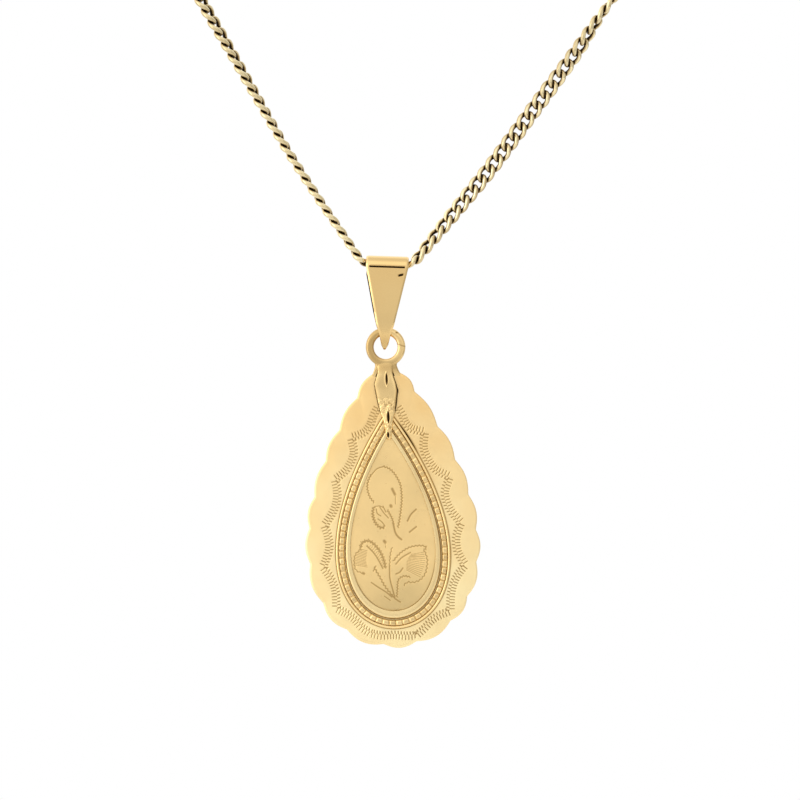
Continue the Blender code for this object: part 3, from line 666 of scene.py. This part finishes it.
def build_hanger():
    """The ring, and the strap that flows from it and is soldered over the border's tip."""
    rough = rough_hanger()
    mesh = bpy.data.meshes.new("rough_hanger")
    mesh.from_pydata(np.vstack(rough.points).tolist(), [], rough.faces)
    obj = bpy.data.objects.new("rough_hanger", mesh)
    bpy.context.scene.collection.objects.link(obj)
    melt = obj.modifiers.new("melt", "REMESH")
    melt.mode = "VOXEL"
    melt.voxel_size = HANGER_VOXEL
    even = obj.modifiers.new("even", "SMOOTH")
    even.factor = 0.5
    even.iterations = 9
    melted = obj.evaluated_get(bpy.context.evaluated_depsgraph_get()).to_mesh()
    points = np.array([vertex.co for vertex in melted.vertices])
    x, y, z = points.T.copy()
    front = y < -0.3
    inset = np.minimum(x + np.interp(z, STRAP_Z, STRAP_LEFT), np.interp(z, STRAP_Z, STRAP_RIGHT) - x)
    line_width = np.where(
        x > 0, np.interp(z, STRAP_LINE_Z, STRAP_LINE_RIGHT), np.interp(z, STRAP_LINE_Z, STRAP_LINE_LEFT)
    )
    line = np.clip(1.6 - inset / line_width, 0, 1)
    slit = slit_depth(x, z) * front
    lip = slit_depth(x, z, 2.0) * front
    lump = np.array([
        noise.noise(Vector(place) * 2.4) + 0.6 * noise.noise(Vector(place) * 6.1) for place in points
    ])
    solder = sum(bell(z, height, reach, 4) for height, reach in SOLDER) * front * (inset > 0.02)
    points[:, 1] += slit * SLIT_DEPTH - (lip - slit) * LIP_HEIGHT + solder * lump * SOLDER_HEIGHT
    seam = np.abs((x - RING_SEAM[0]) * 0.35 + (z - RING_SEAM[1]) * 0.94)
    dirt_and_shade = np.maximum.reduce([
        # painted shade down each side of the strap
        line * rise(z, -12.3, -12.8) * (z > -17.5) * (inset > -0.09),
        # painted dark reflection and shade in the slits
        slit * 1.6,
        solder * np.clip(lump * 1.6 - 0.25, 0, 0.6),
        # painted shade on the ring's left side and at the strap's root; the strap's upper face darker
        # on its left
        np.clip(0.27 - x / 4.5, 0, 0.5) * rise(z, -12.5, -11.9),
        0.48 * bell(z, -12.1, 0.9),
        0.22 * bell(z, -13.6, 1.2, 4) * np.clip(0.8 - x, 0, 1) * front,
        0.95 * bell(x, RING_NICK[0], 0.17) * bell(z, RING_NICK[1], 0.11),
        0.6 * np.clip(1.5 - seam / 0.07, 0, 1) * (x > 1.3) * (z > -10.5),
    ])
    shape = Shape()
    shape.points.append(points)
    shape.faces = [list(face.vertices) for face in melted.polygons]
    shape.dirt_and_shade.append(np.clip(dirt_and_shade, 0, 1))
    bpy.data.objects.remove(obj)
    hanger = shape.build("ring_and_strap", locket_place)
    finish_piece(hanger, HANGER_GOLD, "locket", "hanger")


def slit_depth(x, z, spread=1.0):
    """The spindle-shaped slits where the strap's two halves part, from 0 to 1."""
    depth = np.zeros(np.shape(x))
    for middle_x, middle_z, half_width, half_length in STRAP_SLITS:
        along = np.clip(np.abs(z - middle_z) / (half_length * spread**0.4), 0, 1)
        width = spread * half_width * (1 - along**2)
        share = np.abs(x - middle_x) / np.maximum(width, 0.01)
        depth = np.maximum(depth, np.clip(1.5 * (1 - share), 0, 1) * (width > 0.01))
    return depth


# ---------------------------------------------------------------- drop outlines
def drop_half(top, bottom, half_width, sharpness, inset=0.0, steps=400):
    """The right half of a drop, from its tip down to its round bottom, as (x, z)."""
    peak = 2 * ((1 + sharpness) / (2 + sharpness)) ** ((1 + sharpness) / 2)
    across = half_width * math.sqrt(2 + sharpness) / peak
    half_height = (top - bottom) / 2
    turn = np.linspace(0, math.pi, steps + 1)[1:-1]
    lift = np.sin(turn / 2) ** sharpness
    x = across * np.sin(turn) * lift
    z = (top + bottom) / 2 + half_height * np.cos(turn)
    slope_x = across * lift * (np.cos(turn) + sharpness * np.cos(turn / 2) ** 2)
    slope_z = -half_height * np.sin(turn)
    length = np.hypot(slope_x, slope_z)
    x, z = x + inset * slope_z / length, z - inset * slope_x / length
    kept = np.stack([x, z], 1)[x > 0.02]
    (x1, z1), (x2, z2) = kept[0], kept[1]
    tip = (0.0, z1 + (z1 - z2) * x1 / (x2 - x1))
    return np.vstack([[tip], kept, [(0.0, bottom + inset)]])


def drop_loop(drop, inset, count):
    """A whole drop outline as count points, spread evenly down each half from the tip."""
    half = resample(drop_half(*drop, inset), count // 2 + 1)
    return np.vstack([half, half[1:-1][::-1] * (-1, 1)])


def level_row(line, y):
    """A line of (x, z) points at the depth y."""
    return np.stack([line[:, 0], np.full(len(line), y), line[:, 1]], 1)


def inset_grid(drop, section, count):
    """A grid round a drop: for each (inset, y) of the section, the drop inset by that much."""
    return np.stack([level_row(drop_loop(drop, inset, count), y) for inset, y in section], 0)


# ---------------------------------------------------------------- engraving
def ticks(path, pitch, offset, reach, slant=0.0, phase=0.0):
    """Short strokes across a path: reach is each one's half length."""
    line = curve_through(path)
    count = max(2, round(run_of(line)[-1] / pitch))
    even = resample(line, count * 4 + 1)
    slope = unit(np.gradient(even, axis=0))
    strokes = []
    for i in range(count):
        k = min(int((i + 0.5 + phase) * 4), len(even) - 1)
        ahead = slope[k]
        side = np.array([-ahead[1], ahead[0]])
        stroke = side * math.cos(slant) + ahead * math.sin(slant)
        middle = even[k] + side * offset
        strokes.append(np.array([middle - stroke * reach, middle + stroke * reach]))
    return strokes


def wriggle(path, pitch, swing):
    """A line that swings from side to side of a path."""
    line = curve_through(path)
    count = max(2, round(run_of(line)[-1] / pitch)) * 2
    even = resample(line, count + 1)
    slope = unit(np.gradient(even, axis=0))
    side = np.stack([-slope[:, 1], slope[:, 0]], 1)
    return even + side * (swing * (-1.0) ** np.arange(count + 1))[:, None]


def carve(x, z, strokes):
    """How deep each place is cut, from 0 to 1, by strokes given as (points, width)."""
    depth = np.zeros(x.shape)
    for points, width in strokes:
        points = np.array(points, float)
        half = width / 2
        for start, end in zip(points, points[1:]):
            low = np.minimum(start, end) - half
            high = np.maximum(start, end) + half
            near = np.nonzero((x > low[0]) & (x < high[0]) & (z > low[1]) & (z < high[1]))
            if not len(near[0]):
                continue
            place = np.stack([x[near], z[near]], 1)
            ahead = end - start
            share = np.clip((place - start) @ ahead / max(ahead @ ahead, 1e-9), 0, 1)
            gap = np.linalg.norm(place - start - share[:, None] * ahead, axis=1)
            depth[near] = np.maximum(depth[near], 1 - gap / half)
    return depth


def garland_strokes():
    """Swags of a double row of short cuts, each bowing towards the border."""
    strokes = []
    border = drop_loop(BORDER, 0.0, 600)
    for nodes in (GARLAND_LEFT, GARLAND_RIGHT, (GARLAND_LEFT[-1], GARLAND_RIGHT[-1])):
        for start, end in zip(nodes, nodes[1:]):
            path = []
            for share, gap in SWAG:
                place = np.array(start) * (1 - share) + np.array(end) * share
                nearest = border[np.argmin(np.linalg.norm(border - place, axis=1))]
                away = unit(place - nearest)
                # a gap under nothing moves a swag's end inwards from its outermost cut
                path.append(place + away * gap if gap < 0 else nearest + away * gap)
            chord = np.array(end) - np.array(start)
            inward = nearest - place
            turn = 1.0 if chord[0] * inward[1] - chord[1] * inward[0] > 0 else -1.0
            for offset, reach, slant, phase, width in GARLAND_ROWS:
                for stroke in ticks(path, GARLAND_PITCH, offset * turn, reach, slant * turn, phase):
                    strokes.append((stroke, width))
    return strokes


def panel_strokes():
    """A loose engraved spray: a looped petal, a bud on its stem, and two broad leaves."""
    lines = []

    def line(points, width=0.14):
        lines.append((curve_through(points), width * LINE_BREADTH))

    def wavy(points, pitch=0.36, swing=0.08, width=0.15, combed=False):
        lines.append((wriggle(points, pitch, swing * 1.05), width * WAVE_BREADTH))
        for stroke in ticks(points, pitch, swing, swing * 1.5, 0.5) if combed else ():
            lines.append((stroke, width * COMB_BREADTH))

    def hatch(starts, ends, count, width=0.10):
        starts = resample(curve_through(starts), count)
        ends = resample(curve_through(ends), count)
        for start, end in zip(starts, ends):
            lines.append((np.array([start, end]), width))

    wavy([(-2.00, -27.94), (-2.48, -27.28), (-2.73, -26.32), (-2.65, -25.50), (-2.27, -24.69)])
    line([(-2.35, -24.85), (-1.54, -24.01), (-0.70, -23.75)], 0.13)
    wavy([
        (-0.70, -23.75), (-0.01, -24.07), (0.54, -24.68), (1.00, -25.52), (1.21, -26.23),
        (1.27, -27.53), (1.16, -28.59), (1.05, -29.29), (0.90, -30.11), (0.68, -30.99),
    ])
    line([(0.18, -26.43), (0.47, -27.09)], 0.26)
    line([(0.52, -27.27), (0.49, -28.21)], 0.08)
    line([(-0.07, -28.38), (-0.02, -28.48)], 0.30)
    wavy([(-2.05, -28.47), (-2.19, -28.93), (-2.18, -29.64), (-1.89, -30.42), (-1.32, -30.97),
          (-0.90, -30.86)], 0.34, 0.12, 0.17)
    line([(-1.77, -28.71), (-1.67, -29.25), (-1.27, -29.56)], 0.12)
    line([(-1.35, -28.51), (-0.90, -29.22), (-0.39, -29.82)], 0.12)
    line([(-1.63, -29.90), (-1.18, -30.27), (-0.84, -30.75)], 0.12)
    line([(-1.93, -28.41), (-1.34, -28.38), (-0.88, -28.63)], 0.10)
    line([(-0.98, -28.41), (-0.66, -29.11)], 0.12)
    wavy([(-0.46, -28.90), (0.02, -29.84), (0.18, -30.55)], 0.30, 0.07, 0.15)
    line([(0.14, -30.40), (0.34, -31.50), (0.64, -32.04), (1.05, -32.41)], 0.20)
    line([(2.90, -28.92), (2.27, -29.51), (1.84, -30.25)], 0.18)
    line([(2.84, -30.97), (2.03, -31.58)], 0.17)
    line([(-0.98, -32.52), (-0.88, -32.66)], 0.30)
    line([(-0.91, -32.75), (-0.82, -33.34)], 0.07)
    wavy([(-3.76, -33.23), (-3.56, -32.65), (-2.90, -32.44), (-2.33, -32.76), (-1.71, -33.48),
          (-1.32, -34.26), (-1.06, -35.10), (-1.02, -35.69)], 0.38, 0.10, 0.16, combed=True)
    line([(-3.04, -33.02), (-2.36, -33.75), (-1.81, -34.60), (-1.26, -35.74)], 0.15)
    wavy([(-3.76, -33.35), (-4.40, -33.91), (-4.60, -34.61), (-4.56, -35.44), (-4.33, -35.92),
          (-3.55, -36.24)], 0.5, 0.06, 0.12)
    line([(-3.62, -36.20), (-3.50, -36.26)], 0.26)
    hatch([(-3.9, -33.3), (-4.5, -34.3), (-4.5, -35.2)],
          [(-3.0, -33.6), (-3.2, -34.6), (-3.1, -35.5)], 12)
    hatch([(-2.9, -32.9), (-2.1, -33.3), (-1.5, -34.4), (-1.2, -35.2)],
          [(-3.1, -33.1), (-2.4, -33.8), (-1.8, -34.7), (-1.4, -35.5)], 12)
    wavy([(0.01, -34.90), (0.44, -34.39), (1.17, -33.77), (2.13, -33.31), (3.19, -33.20),
          (3.93, -33.37), (3.82, -33.69)], 0.42, 0.06, 0.15)
    wavy([(3.60, -33.63), (3.85, -34.22), (4.00, -34.93), (3.92, -35.75), (3.66, -36.57),
          (3.04, -37.25), (2.21, -37.50), (1.62, -37.43), (1.14, -37.77)], 0.46, 0.07, 0.13)
    line([(0.29, -35.26), (1.02, -34.53), (2.04, -33.97)], 0.15)
    line([(0.25, -36.44), (0.72, -36.22), (1.09, -35.76)], 0.15)
    wavy([(1.90, -36.85), (1.18, -36.71), (0.51, -37.16), (0.35, -38.33), (0.26, -39.15)],
         0.34, 0.07, 0.14)
    hatch([(2.1, -34.2), (1.6, -35.0), (1.5, -36.0)], [(3.6, -34.0), (3.7, -35.2), (3.1, -36.9)], 13)
    wavy([(-0.11, -33.31), (-0.34, -34.18), (-0.46, -35.47)], 0.40, 0.05, 0.13)
    line([(-0.46, -35.40), (-0.48, -36.88), (-0.18, -38.31), (0.03, -39.14)], 0.15)
    wavy([(-2.30, -35.56), (-1.65, -36.72), (-1.10, -37.80), (-0.31, -38.89)], 0.42, 0.08, 0.15)
    line([(-2.67, -37.33), (-1.93, -37.89), (-1.01, -38.51), (-0.32, -39.13)], 0.14)
    line([(-1.20, -38.98), (-0.52, -39.53)], 0.10)
    line([(-0.40, -38.80), (0.13, -39.40), (0.65, -39.75)], 0.15)
    line([(-2.07, -35.41), (-2.40, -36.01)], 0.12)
    return lines


# ---------------------------------------------------------------- locket front
def plate_outline():
    """The plate's line with its scallops, and the directions out of it."""
    line = drop_loop(
        (PLATE_TOP, PLATE_BOTTOM, PLATE_HALF_WIDTH, PLATE_SHARPNESS), 0.0, PLATE_COLUMNS
    )
    ahead = unit(np.roll(line, -1, 0) - np.roll(line, 1, 0))
    outward = np.stack([-ahead[:, 1], ahead[:, 0]], 1)
    along = np.arange(len(line)) * np.linalg.norm(line[1] - line[0])
    first, last = along[np.nonzero(line[:, 1] <= PLATE_FIRST_CUSP_Z)[0][[0, -1]]]
    spans = np.concatenate([[0], np.cumsum(SCALLOP_SPANS)])
    cusps = first + (last - first) * spans / spans[-1]
    which = np.clip(np.searchsorted(cusps, along, side="right") - 1, 0, len(SCALLOP_SPANS) - 1)
    share = np.clip((along - cusps[which]) / (cusps[which + 1] - cusps[which]), 0, 1)
    swell = SCALLOP_RISE * (4 * share * (1 - share)) ** SCALLOP_SOFTNESS
    swell[(along < first) | (along > last)] = 0
    outer = line + outward * swell[:, None]
    outer[:, 1] = np.minimum(outer[:, 1], PLATE_NECK_Z)
    return outer, outward


def build_plate():
    """The plate: a scalloped edge rounded over to the back, and the cut garland."""
    outer, outward = plate_outline()
    inner = drop_loop(BORDER, 0.15, PLATE_COLUMNS)
    edge = outer - outward * PLATE_EDGE_REACH
    edge[:, 1] = np.minimum(edge[:, 1], PLATE_NECK_Z - 0.12)
    rows = [
        level_row(inner + (edge - inner) * t, PLATE_FRONT + PLATE_FALL * t**2)
        for t in np.linspace(0, 1, PLATE_ROWS)
    ]
    for turn in np.linspace(0, math.pi / 2, 7)[1:]:
        fall = PLATE_FALL + PLATE_EDGE_DEPTH * (1 - math.cos(turn))
        rows.append(level_row(edge + (outer - edge) * math.sin(turn), PLATE_FRONT + fall))
    rows.append(level_row(edge + (outer - edge) * 0.9, PLATE_BACK))
    rows.append(level_row(inner, PLATE_BACK))
    grid = np.stack(rows, 0)
    cut = np.zeros(grid.shape[:2])
    cut[:PLATE_ROWS] = carve(grid[:PLATE_ROWS, :, 0], grid[:PLATE_ROWS, :, 2], garland_strokes())
    grid[..., 1] += cut * GARLAND_DEPTH
    dirt_and_shade = np.clip(cut * 1.5, 0, 1) * GARLAND_SOIL
    border = drop_loop(BORDER, 0.0, 900)
    # painted shade where the plate meets the border, wider where the border stands clear
    for row in range(12):
        x, z = grid[row, :, 0], grid[row, :, 2]
        gap = np.sqrt(np.min((x[:, None] - border[:, 0]) ** 2 + (z[:, None] - border[:, 1]) ** 2, 1))
        lifted = bell(z, BORDER_LIFT_Z, 1.7, 4) * (x > 0)
        contact = np.clip(1.7 - gap / (0.09 + 0.09 * lifted), 0, 1) * (0.8 + 0.2 * lifted)
        dirt_and_shade[row] = np.maximum(dirt_and_shade[row], contact)
    locket_piece("scalloped_plate", grid, dirt_and_shade, PLATE_GOLD, "front_plate", True, 50)


def build_wire():
    """The border's plain wire, with painted shade on the half that faces the plate."""
    turn = circle(12)
    section = zip(WIRE_RADIUS * (1 - np.cos(turn)), RAISED_BACK - WIRE_RADIUS * (1 + np.sin(turn)))
    grid = inset_grid(BORDER, section, 700)
    dirt_and_shade = (np.sin(turn)[:, None] < -0.05) * WIRE_SHADE * np.ones(700)
    locket_piece("border_round_wire", grid, dirt_and_shade, POLISHED, "border_wire")


def build_beads():
    """The strip of squarish grains between the wire and the rim."""
    count = BEAD_COUNT * BEAD_COLUMNS
    insets = np.concatenate([np.linspace(*BEAD_INSETS, 11), [BEAD_INSETS[1], BEAD_INSETS[0]]])
    grid = inset_grid(BORDER, [(inset, RAISED_BACK) for inset in insets], count)
    middle = drop_loop(BORDER, sum(BEAD_INSETS) / 2, count)
    top = grid[:11][..., (0, 2)]
    nearest = np.array([
        [np.argmin(np.sum((middle - place) ** 2, 1)) for place in row] for row in top
    ])
    phase = ((nearest + 0.5) % BEAD_COLUMNS) / BEAD_COLUMNS
    lengthwise = np.sqrt(np.maximum(1 - np.abs(2 * phase - 1) ** 4, 0))
    across = np.sqrt(np.maximum(1 - np.abs(np.linspace(-0.98, 0.98, 11)) ** 4, 0))
    swell = across[:, None] * lengthwise
    chance = np.random.default_rng(5)
    which = (nearest // BEAD_COLUMNS) % BEAD_COUNT
    worn = chance.uniform(0.75, 1.0, BEAD_COUNT)[which]
    stained = chance.uniform(0.06, 0.34, BEAD_COUNT)[which]
    grid[:11, :, 1] = RAISED_BACK - BEAD_FOOT - (BEAD_HEIGHT - BEAD_FOOT) * swell * worn
    # painted shade between the grains and under the strip, and a random stain on each grain
    dirt_and_shade = np.full(grid.shape[:2], 0.5)
    dirt_and_shade[:11] = np.maximum(0.85 * np.clip(1.15 - swell * 1.3, 0, 1), stained)
    locket_piece("milgrain_beads", grid, dirt_and_shade, POLISHED, "milgrain_strip")


def build_rim():
    outer = drop_loop(BORDER, RIM_INSET, 900)
    inner = drop_loop(PANEL, 0.0, 900)
    shares = np.linspace(0, 1, 21)
    heights = np.interp(shares, RIM_SHARES, RIM_HEIGHTS)
    rows = [
        level_row(outer + (inner - outer) * share, RAISED_BACK - height)
        for share, height in zip(shares, heights)
    ]
    rows += [level_row(inner, RAISED_BACK), level_row(outer, RAISED_BACK)]
    grid = np.stack(rows, 0)
    # painted shade fills the groove; the inner half is a little darker, and painted shade lies more on
    # its right
    soil_and_shade = np.where(shares < RIM_SHARES[1] + 0.02, RIM_GROOVE_SHADE, RIM_DARKENING[0] * (shares > 0.5))
    right = rise(grid[..., 0], 0.0, 3.0) * (np.append(shares, [0.0, 0.0]) > 0.45)[:, None]
    dirt_and_shade = np.maximum(np.append(soil_and_shade, [0.0, 0.5])[:, None], RIM_DARKENING[1] * right)
    locket_piece("half_round_rim", grid, dirt_and_shade, RIM_GOLD, "polished_rim")


def build_panel():
    """The engraved panel, very slightly domed."""
    half_width, height = resample(drop_half(*PANEL, 0.04, 600), 430)[1:-1].T[..., None]
    columns = np.linspace(-1, 1, 171)
    x = half_width * columns
    z = height + 0 * x
    cut = carve(x, z, panel_strokes())
    crown = (1 - columns**2) * np.minimum(half_width / 5.0, 1) ** 2
    low = rise(height, PANEL_FALL_START, PANEL[1])
    y = RAISED_BACK - PANEL_HEIGHT + np.maximum(PANEL_DOME * (1 - crown), PANEL_FALL * low**2)
    front = np.stack([x, y + cut * PANEL_CUT_DEPTH, z], 2)
    back_x = half_width * np.linspace(1, -1, 9)
    back = np.stack([back_x, np.full(back_x.shape, RAISED_BACK), height + 0 * back_x], 2)
    # dirt in the cuts, and a line of painted shade along the lower edge, darker on the right
    edge = half_width * (1 - np.abs(columns))
    low_edge = np.clip(1.4 - edge / 0.12, 0, 1) * rise(z, -34.0, -38.0)
    low_edge = np.maximum(low_edge, np.clip(1.4 - (z - PANEL[1]) / 0.16, 0, 1))
    soil_and_shade = np.maximum(np.clip(cut * 1.6, 0, 1) * PANEL_SOIL, low_edge * np.where(x > 0, 0.85, 0.68))
    grid = np.concatenate([front, back], 1)
    dirt_and_shade = np.concatenate([soil_and_shade, np.zeros(back_x.shape)], 1)
    locket_piece("engraved_panel", grid, dirt_and_shade, PANEL_GOLD, "centre_panel", True, 60)


# ---------------------------------------------------------------- the other pieces
def smooth_facets():
    """A modifier's node group: shade smoothly across every edge that turns less than 35 degrees."""
    tree = bpy.data.node_groups.new("smooth_facets", "GeometryNodeTree")
    tree.interface.new_socket("Geometry", in_out="INPUT", socket_type="NodeSocketGeometry")
    tree.interface.new_socket("Geometry", in_out="OUTPUT", socket_type="NodeSocketGeometry")
    turn = add_node(tree, "GeometryNodeInputMeshEdgeAngle").outputs["Unsigned Angle"]
    gentle = math_node(tree, "LESS_THAN", turn, math.radians(35))
    mesh = add_node(tree, "NodeGroupInput").outputs["Geometry"]
    for domain, smooth in (("FACE", True), ("EDGE", gentle)):
        inputs = {"Geometry": mesh, "Shade Smooth": smooth}
        mesh = add_node(tree, "GeometryNodeSetShadeSmooth", inputs, domain=domain).outputs["Geometry"]
    add_node(tree, "NodeGroupOutput", {"Geometry": mesh})
    return tree


SMOOTH_FACETS = smooth_facets()


def paint(nodes, material, worn=0.0):
    """Colour pieces of the shared frame and shade them smoothly; worn rounds their sharp edges."""
    for name in nodes:
        obj = frame["nodes"][name]
        obj.data.materials.clear()
        obj.data.materials.append(material)
        obj.modifiers.new("smooth_facets", "NODES").node_group = SMOOTH_FACETS
        if worn:
            rounded = obj.modifiers.new("worn_edges", "BEVEL")
            rounded.width = worn * MM
            rounded.segments = 2
            rounded.limit_method = "ANGLE"
            rounded.angle_limit = math.radians(40)
            obj.modifiers.new("flat_faces", "WEIGHTED_NORMAL").keep_sharp = True


def build_rest():
    paint(("clasp_jump_ring", "clasp_body", "clasp_bolt", "end_ring"), BAIL_GOLD)
    paint(("clasp_spring",), STEEL)
    paint(
        ("case_knuckle_upper", "case_knuckle_lower", "hinge_pin", "lid_knuckle"),
        POLISHED,
    )
    paint(
        ("case_wall", "front_photo_frame", "lid_snap_rim", "lid_photo_frame"),
        POLISHED, 0.07,
    )
    paint(("back_lid",), LID_GOLD, 0.13)
    paint(("front_photo_card", "lid_photo_card"), CARD)
    paint(("front_clear_cover", "lid_clear_cover"), COVER)


# ---------------------------------------------------------------- studio
# The studio's brightness from below to above, from left to right, and from the front or back to
# the sides: (share of the way, brightness).
SKY_STOPS = (
    (0.0, 0.35), (0.25, 0.6), (0.36, 0.85), (0.45, 1.04), (0.6, 1.15), (0.9, 1.15), (1.0, 0.85),
)
FLANK_STOPS = (
    (0.0, 1.05), (0.15, 1.2), (0.35, 1.05), (0.5, 1.0), (0.7, 0.9), (0.85, 0.55), (1.0, 0.7),
)
OPENING_STOPS = ((0.0, 0.80), (0.015, 0.82), (0.05, 1.06), (0.3, 1.12), (1.0, 1.05))


def build_world():
    world = bpy.data.worlds.new("studio")
    bpy.context.scene.world = world
    world.use_nodes = True
    tree = world.node_tree
    tree.nodes.clear()
    place = add_node(tree, "ShaderNodeTexCoord")
    split = add_node(tree, "ShaderNodeSeparateXYZ", {"Vector": place.outputs["Generated"]})
    upward = ramp_node(tree, split.outputs["Z"], -1.0, 1.0, SKY_STOPS)
    sideways = ramp_node(tree, split.outputs["X"], -1.0, 1.0, FLANK_STOPS)
    level = math_node(tree, "ABSOLUTE", split.outputs["Y"])
    facing = ramp_node(tree, level, 1.0, 0.0, OPENING_STOPS)
    glow = mix_node(tree, 1.0, mix_node(tree, 1.0, upward, sideways, "MULTIPLY"), facing, "MULTIPLY")
    studio = add_node(tree, "ShaderNodeBackground", {"Color": glow})
    white = add_node(tree, "ShaderNodeBackground", {"Color": (1, 1, 1, 1), "Strength": 1.0})
    rays = add_node(tree, "ShaderNodeLightPath")
    choose = add_node(tree, "ShaderNodeMixShader", {
        "Fac": rays.outputs["Is Camera Ray"],
        1: studio.outputs["Background"],
        2: white.outputs["Background"],
    })
    add_node(tree, "ShaderNodeOutputWorld", {"Surface": choose.outputs["Shader"]})


def ramp_node(tree, value, low, high, stops):
    """Greys given as (share of the way from low to high, brightness)."""
    ramp = add_node(tree, "ShaderNodeValToRGB", {"Fac": map_node(tree, value, low, high)})
    elements = ramp.color_ramp.elements
    while len(elements) < len(stops):
        elements.new(0.5)
    for element, (position, brightness) in zip(elements, stops):
        element.position = position
        element.color = (brightness, brightness, brightness, 1.0)
    return ramp.outputs["Color"]


def build_softbox():
    """A tall soft light to the front left."""
    data = bpy.data.lights.new("softbox", "AREA")
    data.shape = "RECTANGLE"
    data.size = 0.35
    data.size_y = 0.9
    data.energy = 1.3
    softbox = bpy.data.objects.new("softbox", data)
    softbox.location = (-0.75, -0.55, 0.05)
    softbox.rotation_euler = (math.pi / 2, 0.0, math.atan2(-0.75, 0.55))
    bpy.context.scene.collection.objects.link(softbox)


def build_floor():
    bpy.ops.mesh.primitive_circle_add(vertices=96, radius=0.3, fill_type="NGON", location=(0, 0, -0.12))
    floor = bpy.context.object
    floor.name = "floor"
    floor.data.materials.append(plain("floor_white", (0.92, 0.92, 0.92), (0.88, 0.88, 0.88), 0.8))


bpy.context.scene.view_settings.view_transform = "Standard"
build_camera()
build_chain()
build_bail()
build_hanger()
build_plate()
build_wire()
build_beads()
build_rim()
build_panel()
build_rest()
build_world()
build_softbox()
build_floor()
